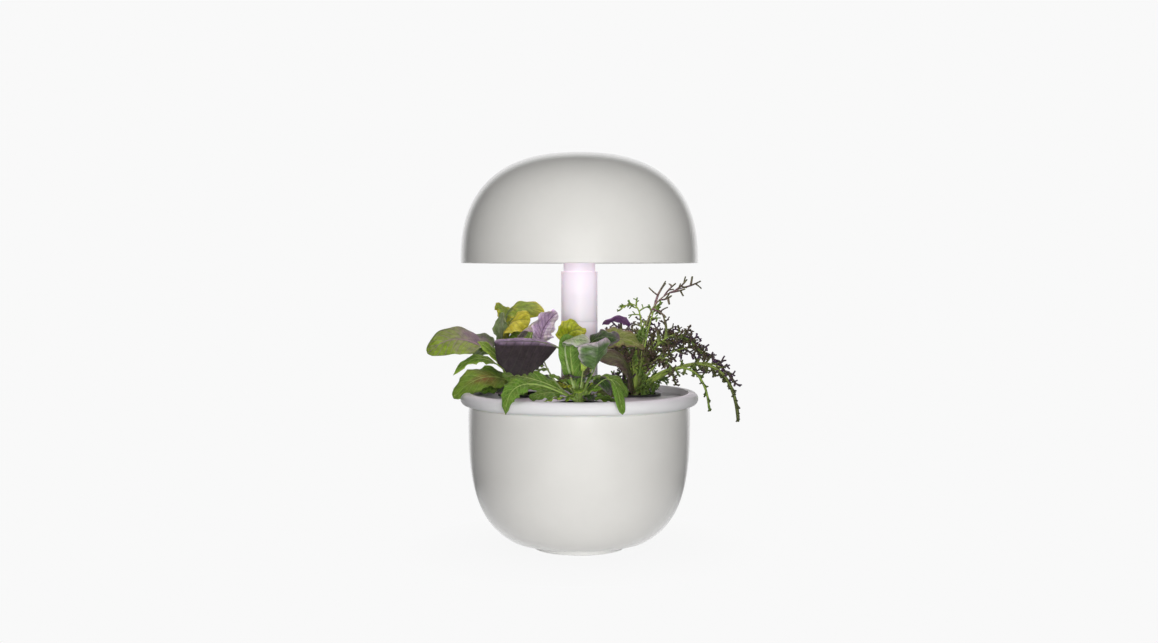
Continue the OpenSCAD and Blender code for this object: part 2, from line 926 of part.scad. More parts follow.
// Short engraved line on the front of a block.
module height_mark(z) {
    depth = 0.6;
    height = 0.8;
    translate([0, 0, z - height / 2])
    intersection() {
        difference() {
            cylinder(r = mast_radius + 1, h = height);
            translate([0, 0, -1])
            cylinder(r = mast_radius - depth, h = height + 2);
        }
        translate([-mark_width / 2, -mast_radius - 2, -1])
        cube([mark_width, mast_radius, height + 2]);
    }
}

module mast_foot() {
    color([0.96, 0.94, 0.98])
    difference() {
        union() {
            mast_stage(deck_top, mast_foot_top, deck_top - foot_contact_z + 1);
            difference() {
                translate([0, 0, deck_top])
                cylinder(r = foot_flange, h = foot_flange_height);
                translate([0, 0, deck_top - 1])
                cylinder(r = mast_radius - 1, h = 10);
            }
        }
        at_foot_screws()
        translate([0, 0, deck_top + foot_flange_height])
        mirror([0, 0, 1])
        screw_way(foot_flange_height);
    }
}

module foot_screws() {
    color([0.7, 0.7, 0.72])
    at_foot_screws()
    translate([0, 0, deck_top + foot_flange_height])
    mirror([0, 0, 1])
    screw();
}

module foot_contacts() { contact_pair(foot_contact_z, mast_foot_top - contact_drop); }

module lower_height_block() {
    color([0.96, 0.94, 0.98])
    mast_stage(mast_foot_top, lower_block_top, spigot_depth);
}

module lower_block_contacts() {
    contact_pair(mast_foot_top - contact_drop, lower_block_top - contact_drop);
}

module upper_height_block() {
    marks = floor((block_height - 1) / mark_pitch);
    color([0.96, 0.94, 0.98])
    difference() {
        mast_stage(lower_block_top, upper_block_top, spigot_depth);
        for (i = [1:marks])
            height_mark(upper_block_top - 0.8 - i * mark_pitch);
    }
}

module upper_block_contacts() {
    contact_pair(lower_block_top - contact_drop, upper_block_top - contact_drop);
}

// ---------------------------------------------------------------- hood

ceiling_z = hood_z + light_recess;
neck_flange = 24;
neck_flange_height = 2.5;
neck_top = ceiling_z + reflector_wall;
neck_contact_top = neck_top + neck_flange_height + 1;

module hood_neck() {
    neck_bottom = upper_block_top - spigot_depth;
    color([0.94, 0.9, 0.98])
    difference() {
        union() {
            translate([0, 0, neck_bottom])
            cylinder(r = spigot_radius, h = neck_top - neck_bottom + 1);
            translate([0, 0, neck_top])
            cylinder(r = neck_flange, h = neck_flange_height);
        }
        translate([0, 0, neck_bottom - 1])
        cylinder(r = spigot_inner, h = neck_top - neck_bottom - 5);
        at_contacts()
        cylinder(r = contact_radius + turn_clearance, h = hood_top, $fn = 32);
    }
}

module neck_contacts() { contact_pair(upper_block_top - contact_drop, neck_contact_top); }

// Turned solid inside the hood's outline.
module hood_form(inset) {
    curve = outline(hood_radius - inset, hood_height - inset, hood_curve, hood_height - inset);
    translate([0, 0, hood_z])
    rotate_extrude()
    polygon(concat([[0, 0]], curve));
}

reflector_screw_circle = 76;
spoke_angles = [-90, 30, 150];

module at_reflector_screws() {
    for (a = spoke_angles)
        rotate([0, 0, a])
        translate([reflector_screw_circle, 0, 0])
        children();
}

button_board_z = hood_top - 10;
button_board_wall = 1.2;
button_board_radius = button_radius + 7;
button_post_x = button_board_radius - 2.5;
switch_top = button_board_z + button_board_wall + 3;
button_travel = 0.8;
button_lip = 1.5;

module hood_shell() {
    color([0.86, 0.85, 0.82])
    difference() {
        union() {
            difference() {
                hood_form(0);
                translate([0, 0, -0.01])
                hood_form(hood_wall);
            }
            // screw posts, and the two posts of the button board
            intersection() {
                hood_form(hood_wall / 2);
                union() {
                    at_reflector_screws()
                    translate([0, 0, neck_top])
                    cylinder(r = boss_radius, h = hood_height, $fn = 48);
                    for (x = [-button_post_x, button_post_x])
                        translate([x, 0, button_board_z + button_board_wall])
                        cylinder(r = 1.6, h = 20, $fn = 32);
                }
            }
        }
        at_reflector_screws()
        translate([0, 0, ceiling_z])
        cylinder(r = screw_radius + turn_clearance, h = screw_length + 0.5, $fn = 32);
        translate([0, 0, hood_top - 20])
        cylinder(r = button_radius + 3 * turn_clearance, h = 40);
    }
}

outer_led_circle = 56;
inner_led_circle = 36;
window_radius = 4.5;

module at_leds() {
    for (i = [0:outer_leds - 1])
        rotate([0, 0, 15 + 360 * i / outer_leds])
        translate([outer_led_circle, 0, 0])
        children();
    for (i = [0:inner_leds - 1])
        rotate([0, 0, 360 * i / inner_leds])
        translate([inner_led_circle, 0, 0])
        children();
}

module reflector() {
    // pan that closes the hood's underside: lip near the edge, sloping wall, flat ceiling
    lip_z = hood_z + 1.5;
    lip_height = 3;
    lip_radius = hood_radius - hood_wall - seat_clearance;
    slope_radius = 84;
    t = reflector_wall;
    color([0.97, 0.95, 0.98])
    difference() {
        rotate_extrude()
        polygon([
            [socket_radius, ceiling_z], [slope_radius, ceiling_z],
            [lip_radius - 3, lip_z], [lip_radius, lip_z], [lip_radius - 0.4, lip_z + lip_height],
            [lip_radius - 2.5, lip_z + lip_height], [slope_radius + 0.8, ceiling_z + t],
            [socket_radius, ceiling_z + t]
        ]);
        at_leds()
        translate([0, 0, ceiling_z - 1])
        cylinder(r = window_radius, h = t + 2, $fn = 32);
        at_reflector_screws()
        translate([0, 0, ceiling_z - 1])
        cylinder(r = screw_radius + turn_clearance, h = t + 2, $fn = 32);
    }
}

module reflector_screws() {
    color([0.85, 0.85, 0.86])
    at_reflector_screws()
    translate([0, 0, ceiling_z - screw_head_height])
    screw();
}

lens_flange = 5.5;
lens_flange_height = 1.2;
led_height = 1.2;
board_z = neck_top + lens_flange_height + 1 + led_height;
board_wall = 1.6;
board_inner = neck_flange + 2;
board_outer = outer_led_circle + 10;

module led_lenses() {
    color([0.95, 0.93, 1])
    at_leds()
    translate([0, 0, neck_top])
    difference() {
        union() {
            cylinder(r = lens_flange, h = lens_flange_height, $fn = 32);
            translate([0, 0, -reflector_wall])
            cylinder(
                r1 = window_radius - 1.2,
                r2 = window_radius - 0.3,
                h = reflector_wall + 0.2,
                $fn = 32
            );
        }
        translate([0, 0, lens_flange_height - 0.6])
        cylinder(r = 3, h = 2, $fn = 32);
    }
}

module leds() {
    side = 3.5;
    color([1, 0.9, 0.95])
    at_leds()
    translate([-side / 2, -side / 2, board_z - led_height])
    cube([side, side, led_height]);
}

module led_board() {
    spacer = 2;
    color([0.9, 0.9, 0.88]) {
        difference() {
            translate([0, 0, board_z])
            cylinder(r = board_outer, h = board_wall);
            translate([0, 0, board_z - 1])
            cylinder(r = board_inner, h = 10);
        }
        // three spacers that hold it off the reflector
        for (a = spoke_angles)
            rotate([0, 0, a])
            translate([board_outer - spacer - 1, 0, neck_top])
            cylinder(r = spacer, h = board_z - neck_top + 0.5, $fn = 24);
    }
}

sink_z = board_z + board_wall;
sink_plate = 2;
fin_height = 9;
fin_inner = board_inner + 12;

module heat_sink() {
    fins = 24;
    color([0.75, 0.76, 0.78])
    difference() {
        union() {
            translate([0, 0, sink_z])
            cylinder(r = board_outer, h = sink_plate);
            for (i = [0:fins - 1])
                rotate([0, 0, 360 * (i + 0.5) / fins])
                translate([fin_inner, -0.6, sink_z + sink_plate - 0.5])
                cube([board_outer - fin_inner - 1, 1.2, fin_height]);
        }
        translate([0, 0, sink_z - 1])
        cylinder(r = board_inner, h = 20);
    }
}

driver_z = sink_z + 18;
driver_length = 64;
driver_width = 46;
driver_top = driver_z + circuit_board;
post_inset = 5;
post_x = driver_length / 2 - post_inset;
post_y = driver_width / 2 - post_inset + 1;
driver_coil = [16, 14, 9];
driver_coil_place = [-24, -12];
driver_capacitors = [[12, 8, 5, 12], [22, -8, 4, 9]];   // place, radius and height
driver_chip = [10, 10, 1.6];
driver_chip_place = [-2, -14];

module board_posts() {
    color([0.8, 0.8, 0.8])
    for (x = [-1, 1], y = [-1, 1])
        translate([x * post_x, y * post_y, sink_z + sink_plate])
        cylinder(r = 2.2, h = driver_z - sink_z - sink_plate, $fn = 24);
}

module driver_board() {
    color([0.12, 0.4, 0.22])
    translate([-driver_length / 2, -driver_width / 2, driver_z])
    cube([driver_length, driver_width, circuit_board]);
    color([0.16, 0.16, 0.18]) {
        translate([driver_coil_place[0], driver_coil_place[1], driver_top])
        cube(driver_coil);
        for (c = driver_capacitors)
            translate([c[0], c[1], driver_top])
            cylinder(r = c[2], h = c[3], $fn = 32);
        translate([driver_chip_place[0], driver_chip_place[1], driver_top])
        cube(driver_chip);
    }
}

module hood_lead() {
    // two wires from the neck's contacts to the underside of the driver board
    color([0.75, 0.12, 0.1])
    for (s = [-1, 1])
        wire([
            [s * contact_x, 0, neck_contact_top + wire_gap], [s * contact_x, 0, neck_contact_top + 9],
            [s * 12, 8, driver_z - 9], [s * 12, 8, driver_z - wire_gap]
        ]);
}

module button_board() {
    color([0.12, 0.4, 0.22])
    translate([0, 0, button_board_z])
    cylinder(r = button_board_radius, h = button_board_wall);
    color([0.15, 0.15, 0.16])
    translate([-3, -3, button_board_z + button_board_wall])
    cube([6, 6, switch_top - button_board_z - button_board_wall]);
}

module button_lead() {
    // two wires from the driver board up to the button board
    color([0.85, 0.85, 0.85])
    for (x = [-1.5, 1.5])
        wire([
            [x, 10, driver_top + wire_gap], [x, 10, driver_top + 16],
            [x, 6, button_board_z - 16], [x, 6, button_board_z - wire_gap]
        ]);
}

module control_button() {
    // cap whose crown follows the dome, with a lip under the shell and a stem over the switch
    cap_height = 2.6;
    lip_top = hood_top - hood_wall - seat_clearance - 0.2;
    stem_bottom = switch_top + button_travel + 0.1;
    color([0.82, 0.81, 0.78]) {
        intersection() {
            hood_form(0);
            translate([0, 0, lip_top - 0.1])
            cylinder(r = button_radius, h = cap_height + 5);
        }
        translate([0, 0, lip_top - 1])
        cylinder(r = button_radius + button_lip, h = 1);
        translate([0, 0, stem_bottom])
        cylinder(r = 2, h = lip_top - stem_bottom, $fn = 32);
    }
}

// ---------------------------------------------------------------- plants

// Each plant has a short crown that stands in its plug's dimple. A leaf is one ribbon along a
// cubic curve from the crown: [three control points, share of the curve that is bare stalk,
// half width of the blade on its two sides, roll of the blade in degrees, arch].
leaf_thickness = 1;
leaf_rows = 7;
leaf_columns = 4;
stalk_rows = 4;
stalk_half = 1.3;
stalk_thickness = 2;
crown_radius = dimple_radius - 0.6;
crown_height = 5;
crown_spread = 2.4;

// Leaves spread with the room between their capsule and the rim.
leaf_room = 47;
leaf_spread = (rim_radius - pod_circle) / leaf_room;

// A curve starts inside the crown, on the side that its leaf grows to.
function crown_start(towards) =
    let (way = unit([towards[0], towards[1]]))
    [crown_spread * way[0], crown_spread * way[1], crown_height - 2];
function leaf_curve(leaf) = concat(
    [crown_start(leaf[0][0])],
    [for (p = leaf[0]) [p[0] * leaf_spread, p[1] * leaf_spread, p[2]]]
);

// Side and normal of the ribbon at t, rolled about the midrib.
function ribbon_frame(p, t, roll) =
    let (
        d = p[3] - p[0],
        flat = unit([d[0], d[1], 0]),
        along = unit(bezier(p, min(t + 0.02, 1)) - bezier(p, max(t - 0.02, 0))),
        level = [-flat[1], flat[0], 0],
        side = unit(level - (level * along) * along),
        up = cross(along, side)
    )
    [side * cos(roll) + up * sin(roll), up * cos(roll) - side * sin(roll)];

// Closed skin between an upper and an under face, each a list of rows of points.
module ribbon(top, under) {
    rows = len(top);
    across = len(top[0]);
    points = [for (face = [top, under]) each [for (row = face) each row]];
    function at(face, i, j) = (face * rows + i) * across + j;
    function quad(a, b, c, d) = [[a, b, c], [a, c, d]];
    cells = [for (i = [0:rows - 2], j = [0:across - 2]) each concat(
        quad(at(0, i, j), at(0, i, j + 1), at(0, i + 1, j + 1), at(0, i + 1, j)),
        quad(at(1, i, j), at(1, i + 1, j), at(1, i + 1, j + 1), at(1, i, j + 1))
    )];
    edges = [for (i = [0:rows - 2]) each concat(
        quad(at(0, i, 0), at(0, i + 1, 0), at(1, i + 1, 0), at(1, i, 0)),
        quad(at(0, i, across - 1), at(1, i, across - 1), at(1, i + 1, across - 1), at(0, i + 1, across - 1))
    )];
    ends = [for (j = [0:across - 2]) each concat(
        quad(at(0, 0, j), at(1, 0, j), at(1, 0, j + 1), at(0, 0, j + 1)),
        quad(at(0, rows - 1, j), at(0, rows - 1, j + 1), at(1, rows - 1, j + 1), at(1, rows - 1, j))
    )];
    polyhedron(points, concat(cells, edges, ends));
}

// One row of a leaf, "face" 1 for its upper face and -1 for its under face.
function leaf_row(p, leaf, i, face) =
    let (
        u = max(0, (i - stalk_rows) / leaf_rows),
        t = i < stalk_rows ? leaf[1] * i / stalk_rows : leaf[1] + (1 - leaf[1]) * u,
        frame = ribbon_frame(p, t, leaf[3] * min(1, t / leaf[1])),
        swell = pow(sin(180 * (0.03 + 0.94 * u)), 0.7),
        lift = face * (i < stalk_rows ? stalk_thickness : leaf_thickness) / 2
    )
    [for (j = [0:leaf_columns])
        let (
            v = 2 * j / leaf_columns - 1,
            half = i < stalk_rows ? stalk_half : leaf[2][v < 0 ? 0 : 1] * swell
        )
        bezier(p, t) + frame[0] * v * half + frame[1] * (lift - leaf[4] * v * v * half)];

// Swollen foot that joins a stalk to the crown.
module stalk_root(p) {
    hull() {
        translate(p[0] - [0, 0, 1])
        sphere(r = 1.2 * stalk_half, $fn = 6);
        translate(bezier(p, 0.05))
        sphere(r = 1.1 * stalk_half, $fn = 6);
    }
}

// The middle of a capsule at the deck's upper face, which a plant's points are measured from.
module at_plant(i) {
    translate([pod_centre(i)[0], pod_centre(i)[1], deck_top])
    children();
}

module plant_crown() {
    translate([0, 0, -dimple_depth])
    cylinder(r = crown_radius, h = crown_height + dimple_depth, $fn = 16);
}

module leafy_plant(leaves) {
    plant_crown();
    for (leaf = leaves) {
        p = leaf_curve(leaf);
        stalk_root(p);
        ribbon(
            [for (k = [0:stalk_rows + leaf_rows]) leaf_row(p, leaf, k, 1)],
            [for (k = [0:stalk_rows + leaf_rows]) leaf_row(p, leaf, k, -1)]
        );
    }
}

front_leaves = [
    [[[-11, -4, 26], [-16, -10, 72], [-68, -12, 51]], 0.56, [9, 32], -72, 0.1],
    [[[-16, -14, 16], [-64, -32, 35], [-61, -42, -4]], 0.62, [11, 11], -25, 0.15],
    [[[-16, 8, 14], [-42, 18, 25], [-66, 22, 29]], 0.35, [8, 11], -45, 0.1],
    [[[-18, 8, 10], [-53, 16, 53], [-17, 30, 75]], 0.68, [15, 15], 5, 0.1],
    [[[-4, 8, 29], [-11, 14, 72], [8, 20, 61]], 0.62, [11, 10], 50, 0.1],
    [[[-5, -6, 23], [-10, -16, 52], [-6, -18, 59]], 0.2, [10, 11], 0, 0.2],
    [[[-9, -12, 35], [-23, -20, 69], [7, -26, 55]], 0.66, [8, 8], 22, 0.3],
    [[[9, -4, 26], [14, -26, 44], [16, -34, 58]], 0.35, [18, 19], 0, -0.35],
    [[[7, 8, 27], [-3, 8, 75], [34, 10, 61]], 0.62, [9, 9], 35, 0.2],
    [[[11, 18, 28], [18, 28, 74], [57, 36, 45]], 0.55, [9, 14], 45, 0.1],
    [[[1, -12, 18], [3, -20, 33], [6, -26, 46]], 0.6, [4, 4], 0, 0.1],
    [[[-1, -8, 13], [-1, -16, 18], [0, -24, 12]], 0.35, [5, 5], 0, 0.1],
    [[[5, -6, 13], [11, -14, 21], [18, -21, 15]], 0.4, [5, 5], 40, 0.1],
    [[[9, -8, 14], [16, -16, 36], [26, -22, 10]], 0.45, [5, 5], 40, 0.1],
    [[[17, -22, 19], [28, -38, 45], [35, -49, -3]], 0.68, [5, 5], 0, 0.1],
    [[[7, 10, 24], [28, 12, 59], [48, 8, 12]], 0.5, [9, 9], 50, 0.2]
];

left_leaves = [
    [[[-14, -5, 21], [-39, -17, 72], [-85, -23, 40]], 0.47, [18, 20], -45, 0.15],
    [[[-18, 5, 22], [-30, 15, 57], [-51, 23, 51]], 0.6, [10, 10], -25, 0.1],
    [[[-17, -9, 28], [-41, -15, 49], [-60, -25, 22]], 0.5, [6, 6], -30, 0.2],
    [[[-16, -21, 25], [-46, -37, 37], [-61, -45, 1]], 0.4, [15, 10], -25, 0.15],
    [[[-11, -7, 22], [-23, -19, 47], [-13, -27, 76]], 0.35, [10, 8], 0, 0.15],
    [[[-8, -11, 31], [-24, -25, 69], [6, -35, 64]], 0.56, [10, 10], 50, 0.1],
    [[[-11, -3, 41], [-39, -9, 96], [19, -15, 76]], 0.58, [12, 12], 25, 0.25],
    [[[6, -19, 33], [-15, -45, 63], [24, -51, 58]], 0.62, [11, 11], 10, 0.1],
    [[[-14, -13, 19], [-21, -23, 42], [-40, -29, 50]], 0.45, [6, 7], -55, 0.1],
    [[[-12, 11, 27], [-30, 31, 59], [-48, 49, 29]], 0.5, [13, 13], 0, 0.2],
    [[[0, 15, 34], [6, 37, 73], [10, 63, 49]], 0.5, [12, 12], 0, 0.2],
    [[[-6, 5, 39], [-12, 19, 74], [-26, 29, 83]], 0.55, [10, 10], 5, 0.2]
];

module plant_front() {
    color([0.35, 0.5, 0.16])
    at_plant(0)
    leafy_plant(front_leaves);
}

module plant_left() {
    color([0.42, 0.55, 0.18])
    at_plant(1)
    leafy_plant(left_leaves);
}

// Feathery leaves: a thin rachis with pairs of narrow lobes that lean towards the tip.
// Row: [three control points, share of bare stalk, number of lobe pairs, lobe length].
right_fronds = [
    [[[12, -7, 59], [4, -19, 90], [54, -29, 99]], 0.6, 5, 15],
    [[[5, 1, 41], [19, -3, 100], [-12, -9, 79]], 0.6, 4, 9],
    [[[-2, -7, 41], [4, -17, 78], [-28, -25, 66]], 0.7, 3, 7],
    [[[12, -1, 41], [33, -11, 76], [62, -19, 33]], 0.35, 7, 16],
    [[[14, 5, 39], [42, 5, 70], [56, 5, 43]], 0.4, 6, 15],
    [[[13, -21, 32], [24, -39, 52], [32, -47, 19]], 0.35, 6, 13],
    [[[30, -13, 31], [89, -23, 46], [91, -29, -18]], 0.45, 7, 13],
    [[[10, 11, 39], [34, 33, 74], [46, 49, 37]], 0.4, 6, 15],
    [[[2, 15, 45], [12, 33, 81], [16, 57, 59]], 0.45, 6, 13],
    [[[6, 5, 49], [16, 7, 81], [34, 15, 85]], 0.45, 6, 14]
];
rachis_half = 0.9;
rachis_thickness = 1.4;
lobe_rows = [0.1, 0.5, 0.6];   // where each lobe starts, points and ends, as shares of its pitch
lobe_lean = 0.35;

// One row of a frond: three points, the outer two far out where the row is a lobe's tip.
function frond_row(p, leaf, i, face) =
    let (
        k = floor((i - stalk_rows) / 3),
        part = (i - stalk_rows) % 3,
        t = i < stalk_rows
            ? leaf[1] * i / stalk_rows
            : leaf[1] + (1 - leaf[1]) * (k + lobe_rows[part]) / leaf[2],
        frame = ribbon_frame(p, t, 0),
        along = cross(frame[0], frame[1]),
        lobe = i >= stalk_rows && part == 1,
        reach = leaf[3] * (1 - 0.4 * k / leaf[2]),
        lift = face * frame[1] * (lobe ? 0.4 : 0.5) * rachis_thickness
    )
    [for (v = [-1:1])
        let (tilt = (k % 2 == 0 ? 0.3 : 0.05) * v * v)
        bezier(p, t) + lift
            + (lobe ? reach * (v * frame[0] * 0.85 + v * v * lobe_lean * along + tilt * frame[1])
                    : v * rachis_half * frame[0])];

module frond(leaf) {
    p = leaf_curve(leaf);
    last = stalk_rows + 3 * leaf[2] - 1;
    stalk_root(p);
    ribbon(
        [for (k = [0:last]) frond_row(p, leaf, k, 1)],
        [for (k = [0:last]) frond_row(p, leaf, k, -1)]
    );
}

module plant_right() {
    color([0.3, 0.32, 0.2])
    at_plant(2) {
        plant_crown();
        for (leaf = right_fronds)
            frond(leaf);
    }
}

foot_pad();
bottom_cover();
cover_screws();
bowl();
power_inlet();
power_board();
pump_leads();
pump_stator();
pump_housing();
pump_strainer();
pump_shaft();
pump_rotor();
riser_tube();
power_post();
post_seal();
post_wires();
post_contacts();
rim_seal();
tray_rim();
planting_tray();
distributor();
lid_ears();
fill_lid();
lid_pin();
level_float();
float_cage();
pod_front();
pod_left();
pod_right();
plug_front();
plug_left();
plug_right();
plant_front();
plant_left();
plant_right();
mast_foot();
foot_screws();
foot_contacts();
lower_height_block();
lower_block_contacts();
upper_height_block();
upper_block_contacts();
hood_neck();
neck_contacts();
hood_shell();
reflector();
reflector_screws();
led_lenses();
leds();
led_board();
heat_sink();
board_posts();
driver_board();
hood_lead();
button_board();
button_lead();
control_button();
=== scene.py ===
import math
import random

import bmesh
import bpy
from mathutils import Matrix, Vector, noise


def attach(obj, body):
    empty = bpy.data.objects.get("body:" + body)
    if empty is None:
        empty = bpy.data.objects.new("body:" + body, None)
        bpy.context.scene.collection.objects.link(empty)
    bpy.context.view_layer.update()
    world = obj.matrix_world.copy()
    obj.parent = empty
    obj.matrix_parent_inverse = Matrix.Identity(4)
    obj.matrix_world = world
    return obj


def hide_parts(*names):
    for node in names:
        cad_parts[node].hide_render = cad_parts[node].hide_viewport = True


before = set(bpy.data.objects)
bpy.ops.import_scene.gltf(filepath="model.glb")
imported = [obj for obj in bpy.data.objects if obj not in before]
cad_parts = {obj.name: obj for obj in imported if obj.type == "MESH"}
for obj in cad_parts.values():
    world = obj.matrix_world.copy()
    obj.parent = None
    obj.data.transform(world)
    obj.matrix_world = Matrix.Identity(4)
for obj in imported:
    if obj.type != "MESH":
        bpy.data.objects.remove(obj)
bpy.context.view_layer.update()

# ---------------------------------------- camera
# Level with the lower part of the hood, 1.2 m in front of the garden.
camera = bpy.data.objects.new("camera", bpy.data.cameras.new("camera"))
camera.data.sensor_width = 36
camera.data.lens = 42.1
camera.data.shift_y = -0.0471
camera.location = (-0.0003, -1.2, 0.2473)
camera.rotation_euler = (math.radians(90), 0, 0)
bpy.context.collection.objects.link(camera)
bpy.context.scene.camera = camera

# ---------------------------------------- studio
# White sweep round the garden and large soft lamps in front. The white is only seen and adds no
# light. Reflections see dark flags to both sides, so that glossy round pieces darken before their
# bright edges. The floor's paint takes the shadow.
scene = bpy.context.scene
scene.view_settings.view_transform = "Standard"
BACKGROUND = (0.947, 0.947, 0.947, 1)
SEEN = ("Camera", "Glossy", "Transmission")


def feed(tree, node, *values, **named):
    """Gives a node's inputs, in order or by name, a value or the output of another node."""
    named = {name.replace("_", " "): value for name, value in named.items()}
    for socket, value in {**dict(enumerate(values)), **named}.items():
        if isinstance(value, bpy.types.NodeSocket):
            tree.links.new(value, node.inputs[socket])
        else:
            node.inputs[socket].default_value = value
    return node


def added(tree, kind, *values, own=(), **named):
    """New shader node, with its own properties set and its inputs fed."""
    node = tree.nodes.new("ShaderNode" + kind)
    for name, value in dict(own).items():
        setattr(node, name, value)
    return feed(tree, node, *values, **named)


def maths(tree, operation, *values):
    """Output of one maths step on values or on the outputs of other nodes."""
    return added(tree, "Math", *values, own=dict(operation=operation)).outputs[0]


def ranged(tree, value, near, far, first, last, kind="SMOOTHSTEP"):
    """Output that goes from first to last while a value goes from near to far."""
    return added(tree, "MapRange", value, near, far, first, last,
                 own=dict(interpolation_type=kind)).outputs[0]


def largest(tree, top, *others):
    """Output with the largest of several."""
    for other in others:
        top = maths(tree, "MAXIMUM", top, other)
    return top


def rays(tree, *kinds):
    """1 for rays of these kinds, and 0 for the others."""
    path = added(tree, "LightPath")
    return largest(tree, *[path.outputs["Is %s Ray" % kind] for kind in kinds])


def flagged(tree, way, dark, front, back, *others):
    """How bright the white is: full for the camera, darker to both sides for reflections."""
    y = added(tree, "SeparateXYZ", way).outputs["Y"]
    return largest(tree, rays(tree, "Camera", "Transmission"), *others,
                   ranged(tree, y, 0.70, 0.92, dark, back),
                   ranged(tree, y, -0.80, -0.96, dark, front))


def shown(tree, share, unseen, seen, output):
    """Mixes what lights things with what is only seen, by its share, into the output node."""
    mix = added(tree, "MixShader", share, unseen.outputs[0], seen.outputs[0])
    added(tree, output, Surface=mix.outputs[0])


def bare_tree(owner):
    """Empty node tree of a world or material."""
    owner.use_nodes = True
    owner.node_tree.nodes.clear()
    return owner.node_tree


def meshed(name, bm):
    """Mesh of a bmesh, which is used up."""
    mesh = bpy.data.meshes.new(name)
    bm.to_mesh(mesh)
    bm.free()
    return mesh


def linked(name, data):
    """New object in the scene."""
    made = bpy.data.objects.new(name, data)
    bpy.context.collection.objects.link(made)
    return made


scene.world = bpy.data.worlds.new("studio")
sky = bare_tree(scene.world)
sky_way = added(sky, "TexCoord").outputs["Generated"]
ambient = added(sky, "Background", (0.97, 0.98, 1.0, 1), 0.03)
backdrop = added(sky, "Background", BACKGROUND, flagged(sky, sky_way, 0.14, 0.6, 1.0))
shown(sky, rays(sky, *SEEN), ambient, backdrop, "OutputWorld")

floor_bm = bmesh.new()
bmesh.ops.create_grid(floor_bm, x_segments=2, y_segments=2, size=4)
floor = linked("floor", meshed("floor", floor_bm))
white = bpy.data.materials.new("white sweep")
sweep = bare_tree(white)
spot = added(sweep, "TexCoord").outputs["Object"]
away = added(sweep, "VectorMath", spot, own=dict(operation="LENGTH")).outputs["Value"]
floor_way = added(sweep, "VectorMath", spot, own=dict(operation="NORMALIZE")).outputs["Vector"]
near_foot = ranged(sweep, away, 0.08, 0.34, 1.0, 0.0, "LINEAR")
whiteness = ranged(sweep, away, 0.03, 0.16, 0.965, 1.0, "LINEAR")
paint = added(sweep, "BsdfDiffuse", (0.66, 0.66, 0.66, 1))
glow = added(sweep, "Emission", BACKGROUND, flagged(sweep, floor_way, 0.25, 0.7, 0.9, near_foot))
shown(sweep, maths(sweep, "MULTIPLY", whiteness, rays(sweep, *SEEN)), paint, glow, "OutputMaterial")
floor.data.materials.append(white)


def soft_lamp(name, place, target, size, power, colour=(1, 1, 1)):
    """Round area lamp aimed at a target, which neither the camera nor reflections see."""
    lamp = linked(name, bpy.data.lights.new(name, "AREA"))
    lamp.data.shape = "DISK"
    lamp.data.size = size
    lamp.data.energy = power
    lamp.data.color = colour
    lamp.location = place
    lamp.rotation_euler = (Vector(target) - Vector(place)).to_track_quat("-Z", "Y").to_euler()
    lamp.visible_camera = False
    lamp.visible_glossy = False
    return lamp


soft_lamp("front lamp", (0.16, -2.0, 0.3), (0, 0, 0.17), 0.9, 26.0, (1, 0.995, 0.985))
soft_lamp("low lamp", (0.04, -0.8, 0.045), (0, 0, 0.03), 0.3, 1.7)
soft_lamp("top lamp", (-0.1, -0.5, 1.9), (0, 0, 0.2), 0.9, 7)

# ---------------------------------------- foot pad
# Soft light-grey rubber disc under the bowl, turned with rounded edges.
MM = 0.001
SHARP = 32   # degrees, from which an edge shades as a sharp one


def rounded(corners):
    """Outline [radius, height] in mm with each corner (radius, height, setback) eased off."""
    points = []
    for i, (r, z, setback) in enumerate(corners):
        corner = Vector((r, z))
        if not setback:
            points.append(corner)
            continue
        before = Vector(corners[i - 1][:2]) - corner
        after = Vector(corners[(i + 1) % len(corners)][:2]) - corner
        start = corner + before.normalized() * setback
        end = corner + after.normalized() * setback
        for k in range(6):
            t = k / 5
            points.append(start * (1 - t) ** 2 + corner * 2 * t * (1 - t) + end * t ** 2)
    return points


def turned(outline, steps=128, centre=(0, 0)):
    """Mesh of an outline [radius, height] in mm turned round a vertical axis. It is closed."""
    bm = bmesh.new()
    ring = [bm.verts.new((r * MM, 0, z * MM)) for r, z in outline]
    edges = [bm.edges.new(pair) for pair in zip(ring, ring[1:] + ring[:1])]
    bmesh.ops.spin(bm, geom=ring + edges, axis=(0, 0, 1), cent=(0, 0, 0),
                   angle=math.tau, steps=steps, use_merge=True)
    bmesh.ops.remove_doubles(bm, verts=bm.verts, dist=1e-7)
    bmesh.ops.dissolve_degenerate(bm, edges=bm.edges, dist=1e-7)
    bmesh.ops.translate(bm, verts=bm.verts, vec=(centre[0] * MM, centre[1] * MM, 0))
    bmesh.ops.recalc_face_normals(bm, faces=bm.faces)
    return bm


def piece(name, bm, material, body, *replaced, crease=SHARP):
    """Makes a smooth-shaded object of a mesh, gives it its material and its body, and hides the CAD
    nodes it replaces.
    """
    mesh = meshed(name, bm)
    for face in mesh.polygons:
        face.use_smooth = True
    mesh.set_sharp_from_angle(angle=math.radians(crease))
    made = linked(name, mesh)
    mesh.materials.append(material)
    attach(made, body)
    if replaced:
        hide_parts(*replaced)
    return made


